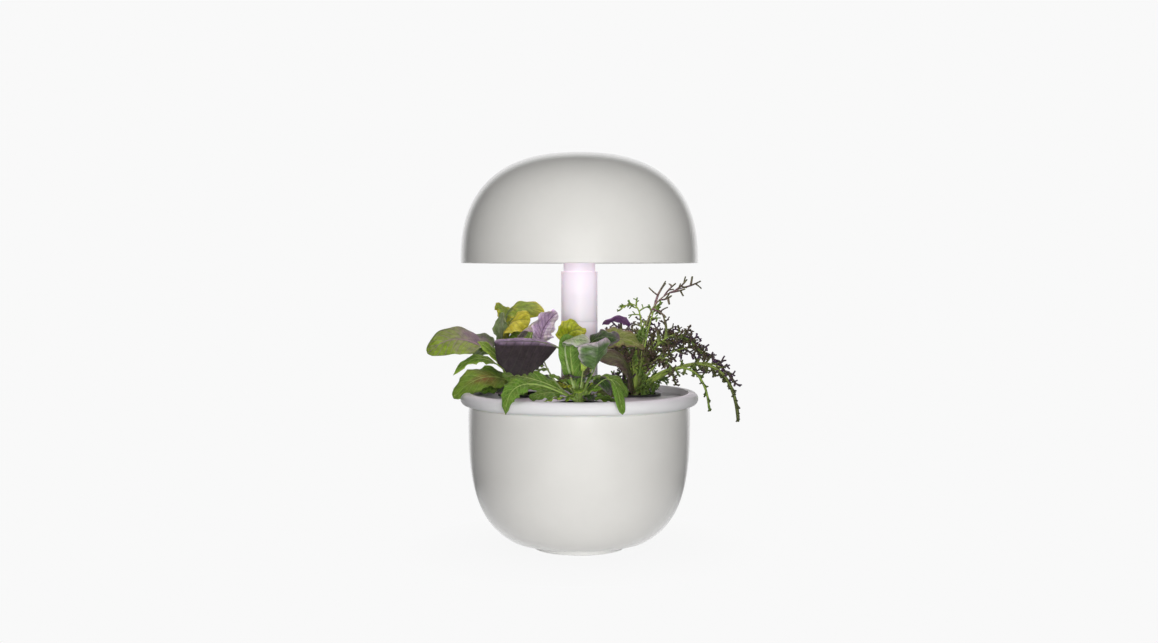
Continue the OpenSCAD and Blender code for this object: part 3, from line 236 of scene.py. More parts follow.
def finish(name, colour, roughness, grain=(), mottle=0, **inputs):
    """Procedural material: colour with faint mottling, and a bump of (strength, fineness)."""
    material = bpy.data.materials.new(name)
    material.use_nodes = True
    tree = material.node_tree
    shader = feed(tree, tree.nodes["Principled BSDF"], Base_Color=(*colour, 1),
                  Roughness=roughness, **inputs)
    place = added(tree, "TexCoord").outputs["Object"]
    if mottle:
        cloud = added(tree, "TexNoise", Vector=place, Scale=45, Detail=4)
        ramp = added(tree, "ValToRGB", cloud.outputs["Fac"])
        for k, position, tint in ((0, 0.3, 1 - mottle), (1, 0.7, 1 + mottle)):
            ramp.color_ramp.elements[k].position = position
            ramp.color_ramp.elements[k].color = (*[min(1, c * tint) for c in colour], 1)
        feed(tree, shader, Base_Color=ramp.outputs["Color"])
    if grain:
        fine = added(tree, "TexNoise", Vector=place, Scale=grain[1], Detail=3)
        bump = added(tree, "Bump", Strength=grain[0], Distance=0.0004, Height=fine.outputs["Fac"])
        feed(tree, shader, Normal=bump.outputs["Normal"])
    return material


foot_rubber = finish("foot rubber", (0.88, 0.88, 0.86), 0.6, grain=(0.35, 900), mottle=0.03)
piece("foot", turned(rounded([(0, 0, 0), (41, 0, 1.4), (41, 8, 0.3), (0, 8, 0)])),
      foot_rubber, "base", "foot_pad")

# ---------------------------------------- bottom cover and its screws
# Flat plate of satin plastic that closes the dry bay, held by four steel screws.
cover_plastic = finish("cover plastic", (0.70, 0.69, 0.67), 0.45, grain=(0.5, 1500), mottle=0.02)
steel = finish("steel", (0.62, 0.62, 0.64), 0.32, grain=(0.15, 2500), mottle=0.05, Metallic=1.0)


def dress(material, *names):
    """Gives carried-over nodes their material."""
    for name in names:
        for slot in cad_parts[name].material_slots:
            slot.material = material


dress(cover_plastic, "bottom_cover")
dress(steel, "cover_screws")

# ---------------------------------------- bowl
# Blow-moulded bowl of thick glossy warm-grey plastic: the tank above, a dry bay below its
# floor with the rotor's well, screw bosses and the power inlet's pocket at the back.
shell_plastic = finish("glossy shell", (0.765, 0.755, 0.725), 0.16, grain=(0.02, 60), mottle=0.012,
                       Specular_IOR_Level=0.5, Coat_Weight=1.0, Coat_Roughness=0.06)
BOWL_MOUTH = 125


def swell(radius, depth, power, cut, steps=72):
    """Rounded-square curve from [radius, 0] down to the depth "cut", as the shells have."""
    last = math.asin(min(1, (cut / depth) ** (power / 2)))
    turns = [last * k / steps for k in range(steps + 1)]
    return [(radius * max(math.cos(t), 0) ** (2 / power), depth * math.sin(t) ** (2 / power))
            for t in turns]


def post(radius, low, high, centre=(0, 0), steps=48):
    """Plain upright cylinder in mm, to add to or cut from a piece."""
    return turned([(0, low), (radius, low), (radius, high), (0, high)], steps, centre)


def around(radius, *angles):
    """Places [x, y] on a circle about the axis, at angles in degrees."""
    return [(radius * math.cos(a), radius * math.sin(a)) for a in map(math.radians, angles)]


def turned_to(bm, rotation, centre=(0, 0, 0)):
    """Turns a mesh about the origin and sets it at a place in mm."""
    bmesh.ops.rotate(bm, verts=bm.verts, cent=(0, 0, 0), matrix=rotation)
    bmesh.ops.translate(bm, verts=bm.verts, vec=[c * MM for c in centre])
    return bm


def block(low, high):
    """Plain box between two corners in mm."""
    bm = bmesh.new()
    bmesh.ops.create_cube(bm, size=1)
    size = [(b - a) * MM for a, b in zip(low, high)]
    bmesh.ops.scale(bm, verts=bm.verts, vec=size)
    bmesh.ops.translate(bm, verts=bm.verts, vec=[(a + b) / 2 * MM for a, b in zip(low, high)])
    return bm


def machined(made, kind, tools):
    """Adds ("UNION") or cuts ("DIFFERENCE") tools, and keeps the result as the piece's own mesh."""
    for bm in tools:
        mesh = meshed("tool", bm)
        tool = linked("tool", mesh)
        modifier = made.modifiers.new("machining", "BOOLEAN")
        modifier.operation = kind
        modifier.solver = "EXACT"
        modifier.object = tool
        depsgraph = bpy.context.evaluated_depsgraph_get()
        result = bpy.data.meshes.new_from_object(made.evaluated_get(depsgraph))
        made.modifiers.clear()
        old = made.data
        made.data = result
        bpy.data.meshes.remove(old)
        bpy.data.objects.remove(tool)
        bpy.data.meshes.remove(mesh)
    made.data.set_sharp_from_angle(angle=math.radians(SHARP))


bowl_outer = [(r, BOWL_MOUTH - z) for r, z in swell(98, 127, 3.2, 117)]
bowl_inner = [(r, BOWL_MOUTH - z) for r, z in swell(95, 124, 3.2, 97.5)]
bay_inner = [(r, BOWL_MOUTH - z) for r, z in swell(95, 124, 3.2, 114.5, 90) if BOWL_MOUTH - z < 25]
bowl = piece("bowl", turned(
    [(0, 27.5)] + bowl_inner[::-1] + [(95.4, 124.9), (97.6, 124.9)] + bowl_outer[1:]
    + [(50, 8), (50, 10.5), (bay_inner[-1][0], 10.5)] + bay_inner[::-1] + [(0, 25)], 160),
    shell_plastic, "base", "bowl")
at_back = Matrix.Rotation(math.radians(-90), 3, "X")
PUMP = (0, -38)
INLET = (0, 66.26, 17.5)
screw_places = around(45.5, 45, 135, 225, 315)
machined(bowl, "UNION", [post(10.5, 12, 26.5, PUMP)]
         + [post(4, 10.5, 26.5, p, 32) for p in screw_places])
machined(bowl, "DIFFERENCE", [
    post(9, 13.5, 43.5, PUMP), post(7, 8.5, 43.5),
    turned_to(post(7.5, 0, 30), at_back, INLET),
    turned_to(post(5.55, -25, 10), at_back, INLET),
    *[post(1.45, 7.5, 17.5, p, 32) for p in screw_places]])

# ---------------------------------------- power inlet and board
# Black barrel socket in the bowl's back, on a small green board that stands on the bottom cover.
black_plastic = finish("black plastic", (0.03, 0.03, 0.032), 0.42, grain=(0.3, 1800), mottle=0.1)
board_green = finish("circuit board", (0.03, 0.22, 0.09), 0.35, grain=(0.2, 700), mottle=0.15)
dress(black_plastic, "power_inlet")
dress(board_green, "power_board", "driver_board", "button_board")

# ---------------------------------------- pump
# Coil and leads in the dry bay, housing and strainer in the tank, and a magnet rotor between
# them on a steel shaft. A silicone riser carries the water up.
copper = finish("copper windings", (0.55, 0.25, 0.10), 0.38, grain=(0.8, 1200), mottle=0.12,
                Metallic=0.8)
black_wire = finish("black wire", (0.02, 0.02, 0.02), 0.4, grain=(0.1, 800), mottle=0.1)
pump_plastic = finish("pump plastic", (0.07, 0.075, 0.08), 0.5, grain=(0.5, 1500), mottle=0.08)
rotor_plastic = finish("rotor plastic", (0.07, 0.10, 0.16), 0.35, grain=(0.2, 1200), mottle=0.08)
silicone = finish("silicone tube", (0.80, 0.80, 0.76), 0.4, grain=(0.1, 600), mottle=0.03,
                  Subsurface_Weight=0.3, Subsurface_Scale=0.002)
dress(copper, "pump_stator")
dress(black_wire, "pump_leads")
dress(pump_plastic, "pump_housing", "pump_strainer")
dress(steel, "pump_shaft")
dress(rotor_plastic, "pump_rotor")
dress(silicone, "riser_tube")

# ---------------------------------------- power post
# White tube in the middle of the tank with a rubber seal under its flange. Two red wires run up
# inside it to the brass contacts that the mast stands on.
inner_plastic = finish("inner plastic", (0.80, 0.80, 0.78), 0.4, grain=(0.3, 1500), mottle=0.02)
seal_rubber = finish("seal rubber", (0.33, 0.33, 0.32), 0.7, grain=(0.5, 1500), mottle=0.06)
red_wire = finish("red wire", (0.50, 0.03, 0.025), 0.4, grain=(0.1, 800), mottle=0.08)
brass = finish("contact brass", (0.80, 0.57, 0.22), 0.22, grain=(0.1, 2500), mottle=0.05,
               Metallic=1.0)
dress(inner_plastic, "power_post")
dress(seal_rubber, "post_seal")
dress(silicone, "rim_seal")
dress(red_wire, "post_wires", "hood_lead")
dress(brass, "post_contacts", "foot_contacts", "lower_block_contacts", "upper_block_contacts",
      "neck_contacts")

# ---------------------------------------- planting tray
# Cool-white gloss plastic: a fat rounded rim that sits on the bowl with a ledge inside it, and a
# deck welded into it that has the capsule holes, collars and a hub. Holes are cut after turning.
rim_plastic = finish("rim plastic", (0.77, 0.765, 0.775), 0.3, grain=(0.02, 60), mottle=0.01,
                     Specular_IOR_Level=0.25)
DECK = 131
POD_CENTRES = [(0, -58), (-50.23, 29), (50.23, 29)]
POD_ANGLES = [-90, 150, 30]
FLOAT_PLACE = (42, 68)
FILL_HOLE = (0, 72)
nose_turns = [-90 + 180 * k / 28 for k in range(29)]
nose = [(99.5 + out, 131.5 + up) for out, up in around(5.5, *nose_turns)]
piece("tray_rim", turned(
    [(92.2, 128.5), (92.2, 116.3), (92.5, 116), (94.4, 116), (94.7, 116.3), (94.7, 126)] + nose
    + rounded([(97.4, 137, 0), (96.5, 137, 0.8), (96.5, 128.5, 0)])[1:], 176),
    rim_plastic, "tray", "tray_rim")
tray = piece("planting_tray", turned([(0, 128.5), (96.2, 128.5), (96.2, 131), (0, 131)], 176),
             rim_plastic, "tray", "planting_tray")
along_x = Matrix.Rotation(math.radians(90), 3, "Y")
mast_screws = around(18.8, 30, 150, 270)
machined(tray, "UNION", [post(23.3, 116.5, 129, p, 64) for p in POD_CENTRES] + [
    post(22, 119.5, 129), post(4.4, 130, 133, FLOAT_PLACE)])
machined(tray, "DIFFERENCE", [post(20.8, 110, 140, p, 96) for p in POD_CENTRES] + [
    post(14.2, 108, 150, steps=80), post(13, 127, 140, FILL_HOLE, 80),
    post(2.45, 127, 140, FLOAT_PLACE, 32), *[post(1.45, 118, 133, p, 24) for p in mast_screws]])
machined(tray, "DIFFERENCE", [
    turned_to(post(2.55, 29.2, 48, steps=24),
              Matrix.Rotation(math.radians(angle), 3, "Z") @ along_x, (0, 0, BOWL_MOUTH))
    for angle in POD_ANGLES])
dress(rim_plastic, "lid_ears")

# ---------------------------------------- distributor
# Ring channel pushed over the hub under the deck. The riser feeds it, and three short spouts
# lead into the capsules.
dress(inner_plastic, "distributor")

# ---------------------------------------- filling lid
# Round cap over the filling hole, hinged on a steel pin between two ears, with a tab to lift it.
lid = piece("filling_lid", turned(
    [(0, 133.5), (14.4, 133.5), (14.4, 131.1), (16, 131.1)]
    + rounded([(16, 130, 0), (16, 135.1, 1), (0, 135.1, 0)])[1:], 80, FILL_HOLE),
    rim_plastic, "lid", "fill_lid")
LID_PIN = (0, 53.5, 133.6)
machined(lid, "UNION", [
    block((-5, 86.5, 133.5), (5, 91, 135.1)), block((-6.5, 53.5, 132.6), (6.5, 59.5, 134.9)),
    turned_to(post(2.2, -6.5, 6.5, steps=32), along_x, LID_PIN)])
machined(lid, "DIFFERENCE", [turned_to(post(1.25, -13, 13, steps=24), along_x, LID_PIN)])
dress(steel, "lid_pin")

# ---------------------------------------- water level float
# Green float in a slotted cage under the deck. Its stem stands through the deck and shows the
# level.
float_plastic = finish("float plastic", (0.16, 0.42, 0.10), 0.3, grain=(0.1, 300), mottle=0.05)
piece("level_float", turned(rounded([
    (0, 86.1, 0), (8, 86.1, 1), (8, 104.1, 1), (2.4, 104.1, 0.4), (2.4, 134, 0.9),
    (0, 134, 0)]), 48, FLOAT_PLACE),
    float_plastic, "float", "level_float")
dress(inner_plastic, "float_cage")

# ---------------------------------------- capsules and growth plugs
# Black tapered cups with a flat lip and root slots, each packed with dark peat wool whose top is
# crumbly.
capsule_plastic = finish("capsule plastic", (0.022, 0.023, 0.025), 0.38, grain=(0.35, 900),
                         mottle=0.1)
dress(capsule_plastic, "pod_front", "pod_left", "pod_right")
peat = finish("peat wool", (0.075, 0.045, 0.028), 0.95, grain=(1.0, 650), mottle=0.55)
for name, centre in zip(("front", "left", "right"), POD_CENTRES):
    rings = [(18.6 * k / 14, 130.9) for k in range(1, 15)]
    plug = turned([(0, 86.6), (16.2, 86.6), (18.7, 130.4)] + rings[::-1] + [(0, 130.9)], 64, centre)
    for v in plug.verts:
        if v.co.z > 0.13:
            lumps = 0.0022 * max(0, noise.noise(v.co * 420) + 0.25)
            v.co.z -= lumps + 0.0008 * noise.noise(v.co * 1300)
    piece("plug_" + name, plug, peat, "tray", "plug_" + name, crease=180)

# ---------------------------------------- mast
# Translucent white tubes that stack: each has a spigot below and a socket above, and carries a
# pair of brass contacts. The upper one has short engraved height marks.
mast_plastic = finish("mast plastic", (0.715, 0.71, 0.73), 0.24, grain=(0.03, 80), mottle=0.01,
                      Subsurface_Weight=0.15, Subsurface_Scale=0.004, Coat_Weight=0.2,
                      Coat_Roughness=0.1)


def mast_stage(low, top, spigot_low, flange=()):
    """Outline of one stage: bore, spigot, shoulder, outside, socket and the partition between."""
    return rounded([
        (0, top - 18, 0), (12.15, top - 18, 0), (12.15, spigot_low, 0), (14.15, spigot_low, 0.4),
        (14.15, low, 0), *flange, (16.2, low + (3 if flange else 0), 0.35), (16.2, top, 0.45),
        (14.2, top, 0.4), (14.2, top - 16, 0), (0, top - 16, 0)])


FOOT_TOP, LOWER_TOP, UPPER_TOP = 155.3, 199.3, 243.3
MARK_LEVELS = (221.1, 199.9)
contact_holes = [(-5, 0), (5, 0)]
mast_foot = piece("mast_foot", turned(
    mast_stage(DECK, FOOT_TOP, 119, [(22, 131, 0.3), (22, 134, 0.8)]), 112),
    mast_plastic, "tray", "mast_foot")
machined(mast_foot, "DIFFERENCE", [post(1.3, 110, 150, p, 24) for p in contact_holes] + [
    post(2.65, 132.6, 137, p, 32) for p in mast_screws])
dress(steel, "foot_screws")
lower_block = piece("lower_height_block", turned(mast_stage(FOOT_TOP, LOWER_TOP, 140.3), 112),
                    mast_plastic, "lower_block", "lower_height_block")
machined(lower_block, "DIFFERENCE", [post(1.3, 170, 190, p, 24) for p in contact_holes])
upper_block = piece("upper_height_block", turned(mast_stage(LOWER_TOP, UPPER_TOP, 184.3), 112),
                    mast_plastic, "upper_block", "upper_height_block")
machined(upper_block, "DIFFERENCE", [post(1.3, 215, 235, p, 24) for p in contact_holes])
for level in MARK_LEVELS:
    groove = turned([(15.6, level - 0.4), (18, level - 0.4), (18, level + 0.4),
                     (15.6, level + 0.4)], 112)
    # Only the part in front stays, 7 mm to each side of the middle.
    for x, way in ((-7, (-1, 0, 0)), (7, (1, 0, 0)), (0, (0, 1, 0))):
        bmesh.ops.bisect_plane(groove, geom=groove.verts[:] + groove.edges[:] + groove.faces[:],
                               plane_co=(x * MM, 0, 0), plane_no=way, clear_outer=True)
        bmesh.ops.holes_fill(groove, edges=groove.edges[:])
    bmesh.ops.recalc_face_normals(groove, faces=groove.faces)
    machined(upper_block, "DIFFERENCE", [groove])

# ---------------------------------------- hood neck and reflector
# The neck plugs into the mast and spreads into a flange on the reflector: a white pan with a
# sloping wall that closes the hood, with a window for each LED.
neck = piece("hood_neck", turned(rounded([
    (0, 262, 0), (12.15, 262, 0), (12.15, 228.3, 0), (14.15, 228.3, 0.4), (14.15, 268, 0),
    (24, 268, 0), (24, 270.5, 0.5), (0, 270.5, 0)]), 112), mast_plastic, "hood", "hood_neck")
machined(neck, "DIFFERENCE", [post(1.3, 255, 280, p, 24) for p in contact_holes])
reflector_plastic = finish("reflector plastic", (0.88, 0.86, 0.89), 0.35, grain=(0.1, 900),
                           mottle=0.01)
HOOD_EDGE = 250.5
reflector = piece("reflector", turned(rounded([
    (14.2, 266, 0.4), (84, 266, 5), (98.9, 252, 0.8), (101.9, 252, 0.3), (101.5, 255, 0.3),
    (99.4, 255, 0.3), (84.8, 268, 4), (14.2, 268, 0)]), 144),
    reflector_plastic, "hood", "reflector")
led_places = around(56, *range(15, 375, 30)) + around(36, *range(0, 360, 60))
hood_screws = around(76, -90, 30, 150)
machined(reflector, "DIFFERENCE", [post(4.5, 260, 275, p, 32) for p in led_places]
         + [post(1.45, 260, 275, p, 24) for p in hood_screws])
dress(steel, "reflector_screws")

# ---------------------------------------- LEDs and their lenses
# Pink-white LEDs on an aluminium-core board, each behind a clear lens in the reflector's window.
led_glow = finish("led glow", (1.0, 0.86, 0.94), 0.4, grain=(0.1, 400),
                  Emission_Color=(1.0, 0.80, 0.94, 1), Emission_Strength=9.0)
lens_clear = finish("clear lens", (0.97, 0.95, 0.98), 0.08, grain=(0.05, 900),
                    Transmission_Weight=0.9, IOR=1.49)
board_metal = finish("led board", (0.82, 0.82, 0.80), 0.4, grain=(0.2, 900), mottle=0.02)
aluminium = finish("aluminium", (0.70, 0.71, 0.72), 0.34, grain=(0.35, 1800), mottle=0.04,
                   Metallic=1.0)
white_wire = finish("white wire", (0.80, 0.80, 0.79), 0.4, grain=(0.1, 800), mottle=0.02)
dress(led_glow, "leds")
dress(lens_clear, "led_lenses")
dress(board_metal, "led_board")
dress(aluminium, "heat_sink")
dress(inner_plastic, "board_posts")
dress(white_wire, "button_lead")
led_lamp = soft_lamp("LED light", (0, 0, 0.2625), (0, 0, 0), 0.17, 0.145, (1.0, 0.80, 0.96))
led_lamp.data.spread = math.radians(150)

# ---------------------------------------- hood
# Domed shell of the same glossy plastic as the bowl, with screw posts inside and one round
# button that follows its crown.
BUTTON_BORE = 7.15


def dome(radius, depth, crown_height):
    """Curve of the hood's shell from its edge up to the bore for the button in its crown."""
    curve = [(r, HOOD_EDGE + z) for r, z in swell(radius, depth, 2.5, depth, 90)]
    return [p for p in curve if p[0] > BUTTON_BORE + 0.15] + [(BUTTON_BORE, crown_height)]


hood_outer = dome(105, 98, 348.42)
hood_inner = dome(102.2, 95.2, 345.65)
hood = piece("light_hood", turned(
    rounded([(102.2, 252, 0), (102.2, 250.5, 0.5), (105, 250.5, 0.9), (105, 254, 0)])[1:-1]
    + [p for p in hood_outer if p[1] > 251.6] + [p for p in hood_inner if p[1] > 251.2][::-1], 176),
    shell_plastic, "hood", "hood_shell")
machined(hood, "UNION", [post(4, 268, 321.5, p, 32) for p in hood_screws] + [
    post(1.6, 339.7, 346.6, (x, 0), 24) for x in (-11.5, 11.5)])
machined(hood, "DIFFERENCE", [post(1.45, 266, 274.5, p, 24) for p in hood_screws])
piece("control_button", turned(rounded([
    (0, 343.6, 0), (2, 343.6, 0.3), (2, 344.2, 0), (8.5, 344.2, 0.2), (8.5, 345.2, 0.2),
    (7, 345.2, 0), (7, 348.4, 0.5), (5, 348.45, 0), (0, 348.45, 0)]), 80),
    shell_plastic, "button", "control_button")

# ---------------------------------------- leaves of the front plant
# Purple mustard and salad greens: thin blades with a sunken midrib, side veins and blistered
# tissue between them, each on a fleshy stalk that rises from the crown of its capsule.
TISSUE = 0.5         # thickness of a blade, in mm
CROWN_TOP = 3        # height of the stems' feet over the deck
BLISTER_SIZE = 0.55  # blisters to the mm


def sheet(rows, columns):
    """Thin closed sheet: x from -1 to 1 across, y from 0 to 1 along, z 0 on top and -1 under."""
    bm = bmesh.new()
    bmesh.ops.create_grid(bm, x_segments=columns, y_segments=rows, size=1)
    made = bmesh.ops.extrude_face_region(bm, geom=bm.faces[:], use_keep_orig=True)["geom"]
    under = [v for v in made if isinstance(v, bmesh.types.BMVert)]
    bmesh.ops.translate(bm, verts=under, vec=(0, 0, -1))
    for v in bm.verts:
        v.co.y = (v.co.y + 1) / 2
    bmesh.ops.recalc_face_normals(bm, faces=bm.faces)
    return meshed("sheet", bm)


def rod(rings, sides):
    """Closed rod of radius 1 that stands from z 0 to 1."""
    bm = bmesh.new()
    bmesh.ops.create_cone(bm, cap_ends=True, segments=sides, radius1=1, radius2=1, depth=1)
    upright = [e for e in bm.edges if abs(e.verts[0].co.z - e.verts[1].co.z) > 0.5]
    bmesh.ops.subdivide_edges(bm, edges=upright, cuts=rings - 1)
    bmesh.ops.translate(bm, verts=bm.verts, vec=(0, 0, 0.5))
    return meshed("rod", bm)


BROAD_SHEET = sheet(52, 26)
SMALL_SHEET = sheet(22, 12)
STALK_ROD = rod(18, 10)
SHOOT_ROD = rod(4, 5)


def shade(red, green, blue):
    """Linear colour of the usual 0 to 255 values."""
    return Vector([((c / 255 + 0.055) / 1.055) ** 2.4 for c in (red, green, blue)])


def start_plant():
    """Empty mesh with the layers that the leaf materials read."""
    bm = bmesh.new()
    for layer in ("tone", "veins"):
        bm.verts.layers.float_color.new(layer)
    for layer in ("along", "across"):
        bm.verts.layers.float.new(layer)
    return bm


def grow(bm, form, at):
    """Adds a copy of a form. at(corner) gives each corner's place, tone, veins, along, across."""
    first = len(bm.verts)
    bm.from_mesh(form)
    bm.verts.ensure_lookup_table()
    tone, veins = (bm.verts.layers.float_color[name] for name in ("tone", "veins"))
    along, across = (bm.verts.layers.float[name] for name in ("along", "across"))
    for v in bm.verts[first:]:
        place, v_tone, v_veins, v[along], v[across] = at(v.co.copy())
        v.co = place * MM
        v[tone] = (*v_tone, 1)
        v[veins] = (*v_veins, 1)


def stem_frame(points, t, roll=0):
    """Place on a cubic curve, and the leaf's side and upward directions there."""
    a, b, c, d = points
    s = 1 - t
    place = a * s ** 3 + b * 3 * t * s * s + c * 3 * t * t * s + d * t ** 3
    along = ((b - a) * s * s + (c - b) * 2 * s * t + (d - c) * t * t).normalized()
    flat = Vector((d.x - a.x, d.y - a.y, 0)).normalized()
    level = Vector((-flat.y, flat.x, 0))
    side = (level - along * level.dot(along)).normalized()
    up = along.cross(side)
    turn = math.radians(roll)
    return (place, side * math.cos(turn) + up * math.sin(turn),
            up * math.cos(turn) - side * math.sin(turn))


def stem_points(centre, reach):
    """Four points of a stem in mm: its foot in the capsule's crown, then three from its centre."""
    root = Vector((*centre, DECK))
    foot = Vector((reach[0][0], reach[0][1], 0)).normalized() * 2.4 + Vector((0, 0, CROWN_TOP))
    return [root + foot] + [root + Vector(p) for p in reach]


def stalk(bm, points, end, thick, thin, colour, tip_colour, roll=0, bare=1, flat=0.75):
    """Tapering stalk that becomes the leaf's midrib, half sunk in its underside."""
    def at(corner):
        t = corner.z * end
        place, side, up = stem_frame(points, t, roll * min(1, t / bare))
        flare = 1 + 0.6 * math.exp(-corner.z * 16)
        radius = (thick + (thin - thick) * min(1, corner.z * 1.15) ** 0.8) * flare
        sunk = 0.45 * radius * min(1, max(0, (t - bare) * 8))
        place = place + side * corner.x * radius + up * (corner.y * radius * flat - sunk)
        # Painted shade: the colour goes lighter and darker in nine stripes round the stalk, for
        # ribs that the mesh does not have.
        rib_shade = 1 + 0.12 * math.sin(9 * math.atan2(corner.y, corner.x))
        return place, colour.lerp(tip_colour, corner.z) * rib_shade, tip_colour, corner.z, corner.x

    grow(bm, STALK_ROD, at)


def blade(bm, points, bare, halves, roll, arch, look, form=(0.5, 0.5), teeth=(0, 0), ruffle=0.0,
          blister=0.3, fold=0.08, seed=0, mesh=None):
    """Leaf blade along the outer part of a stem. The form gives how soon it widens and narrows,
    teeth their number and depth, and the other sizes are in mm or shares of the half width."""
    broad, point = form
    peak = (broad / (broad + point)) ** broad * (point / (broad + point)) ** point
    count, depth = teeth
    upper, under, vein, flush_and_painted_light, where = look

    def at(corner):
        u, v = corner.y, corner.x
        t = bare + (1 - bare) * u
        place, side, up = stem_frame(points, t, roll * min(1, t / bare))
        half = halves[0] if v < 0 else halves[1]
        width = max(0.03, u ** broad * (1 - u) ** point / peak)
        margin = abs(v) ** 5
        tooth = abs(math.sin(math.pi * (count * u + 0.35 * math.copysign(1, v)))) ** 0.6
        notch = 1 - depth * margin * tooth
        rough = noise.noise(Vector((u * 5 + seed, v * 2.2, 3.1)))
        swing = math.sin(math.tau * (u * 3.1 + 0.37 * seed) + v) + 1.6 * rough
        wave = ruffle * abs(v) ** 2.2 * swing
        lateral = (u * 8 - abs(v) * 2 + 0.3 * rough) % 1
        crease = math.exp(-((lateral - 0.5) / 0.13) ** 2) * (1 - abs(v)) ** 0.5
        bubble = noise.noise(Vector((
            u * half * 1.1 * BLISTER_SIZE + seed, v * half * BLISTER_SIZE, seed * 1.7)))
        relief = (blister * ((1 - crease) * 0.9 + bubble * 0.9) * min(1, 6 * abs(v))
                  * (1 - abs(v) ** 8))
        raised = half * (fold * abs(v) - arch * v * v) + wave + relief
        thickness = TISSUE * (1 - 0.6 * abs(v) ** 3)
        share = max(0, min(1, where(u, v) + 0.35 * rough))
        # The flush is a real tint on some leaves and painted light on others; the under face takes
        # a third as much of it.
        if corner.z < -0.5:
            tone = under.lerp(flush_and_painted_light, 0.35 * share)
        else:
            tone = upper.lerp(flush_and_painted_light, share)
        # Painted shade and light: the colour is darkened in the sunken creases along the side veins
        # and lightened on the raised blisters.
        tone = tone * (1 + 0.3 * bubble - 0.25 * crease)
        lifted = raised * min(1, 5 * width) + corner.z * thickness
        return (place + side * v * half * width * notch + up * lifted,
                Vector([max(0, c) for c in tone]), vein, u, v)

    grow(bm, mesh or (BROAD_SHEET if max(halves) > 7 else SMALL_SHEET), at)


def leaf(bm, centre, reach, bare, halves, roll, arch, look, stem=None, thick=1.5, **shape):
    """Leaf on its stalk. Bare is the share of the stem below the blade."""
    points = stem_points(centre, reach)
    stem = stem or STEM_GREEN
    stalk(bm, points, bare + 0.86 * (1 - bare), thick, 0.28, stem, look[2], roll, bare)
    blade(bm, points, bare, halves, roll, arch, look, **shape)


def crown(bm, centre, colour):
    """Knot of leaf bases that stands in the plug's dimple."""
    def at(corner):
        angle = math.atan2(corner.y, corner.x)
        radius = (4.3 - 1.6 * corner.z) * (1 + 0.12 * math.sin(5 * angle + 4 * corner.z))
        place = Vector((*centre, DECK - 3.5 + corner.z * 8))
        out = Vector((math.cos(angle), math.sin(angle), 0))
        place += out * radius * Vector((corner.x, corner.y)).length
        # Painted shade: the colour darkens towards the foot of the knot, down in the dimple.
        return place, colour * (0.7 + 0.5 * corner.z), colour, corner.z, 0.5

    grow(bm, STALK_ROD, at)


def tissue(name, veined, roughness):
    """Leaf material: the colours grown into the mesh, veins in their own colour, a fine net and
    soft scattering.
    """
    material = bpy.data.materials.new(name)
    material.use_nodes = True
    tree = material.node_tree

    def given(layer, kind="Fac"):
        return added(tree, "Attribute", own=dict(attribute_name=layer)).outputs[kind]

    place = added(tree, "TexCoord").outputs["Object"]
    cells = added(tree, "TexVoronoi", Vector=place, Scale=330, own=dict(feature="DISTANCE_TO_EDGE"))
    net = ranged(tree, cells.outputs["Distance"], 0.0, 0.12, 1, 0)
    lines = maths(tree, "MULTIPLY", net, 0.35)
    if veined:
        off_rib = maths(tree, "ABSOLUTE", given("across"))
        rows = maths(tree, "MULTIPLY", given("along"), 8)
        slanted = maths(tree, "SUBTRACT", rows, maths(tree, "MULTIPLY", off_rib, 2))
        step = maths(tree, "FRACT", slanted)
        off_vein = maths(tree, "ABSOLUTE", maths(tree, "SUBTRACT", step, 0.5))
        side_vein = maths(tree, "MULTIPLY", ranged(tree, off_vein, 0.02, 0.11, 1, 0), 0.75)
        lines = largest(tree, ranged(tree, off_rib, 0.02, 0.06, 1, 0), side_vein, lines)
    cloud = added(tree, "TexNoise", Vector=place, Scale=260, Detail=3).outputs["Fac"]
    tone = added(tree, "Mix", own=dict(data_type="RGBA"), A=given("tone", "Color"),
                 B=given("veins", "Color"), Factor=maths(tree, "MULTIPLY", lines, 0.7))
    hue = added(tree, "HueSaturation", Value=ranged(tree, cloud, 0.3, 0.7, 0.8, 1.2, "LINEAR"),
                Color=tone.outputs["Result"])
    bump = added(tree, "Bump", Strength=0.45, Distance=0.0005,
                 Height=maths(tree, "SUBTRACT", cloud, lines))
    feed(tree, tree.nodes["Principled BSDF"], Base_Color=hue.outputs["Color"],
         Normal=bump.outputs["Normal"], Roughness=roughness, Specular_IOR_Level=0.35,
         Subsurface_Weight=0.22, Subsurface_Radius=(0.7, 1.0, 0.25), Subsurface_Scale=0.0012)
    return material


leaf_tissue = tissue("leaf tissue", True, 0.42)
FRONT, LEFT, RIGHT = POD_CENTRES
STEM_GREEN = shade(158, 186, 98)
PALE_STEM = shade(196, 208, 140)
BRIGHT = (94, 132, 40)
LIME = (150, 176, 60)
LILAC = (166, 142, 170)
PLUM = (92, 60, 98)


def no_flush(u, v):
    return 0.0


def near_rib(u, v):
    return math.exp(-(v / 0.4) ** 2) * (1 - 0.5 * u)


def near_edge(u, v):
    return max(abs(v) ** 6, (2 * u - 1) ** 6)


def dyed(upper, under, veins, flush_and_painted_light, where=near_edge):
    """Colours of a leaf's faces, its veins and its flush, which lies where(u along, v across). The
    flush is the leaf's own tint on some leaves and painted light on others.
    """
    return [shade(*colour) for colour in (upper, under, veins, flush_and_painted_light)] + [where]


# Painted light: the lilac over the narrow half and along the midrib stands for that half of the
# leaf tilted up into the pink light.
maroon = dyed((50, 42, 46), (54, 46, 50), (66, 62, 58), LILAC,
              lambda u, v: 1.0 - (6 + 4 * u) * max(0, v))
fresh = dyed(BRIGHT, (112, 146, 62), (170, 188, 106), LIME)
grass = dyed((84, 120, 38), (98, 134, 54), (158, 180, 100), (130, 100, 70), no_flush)
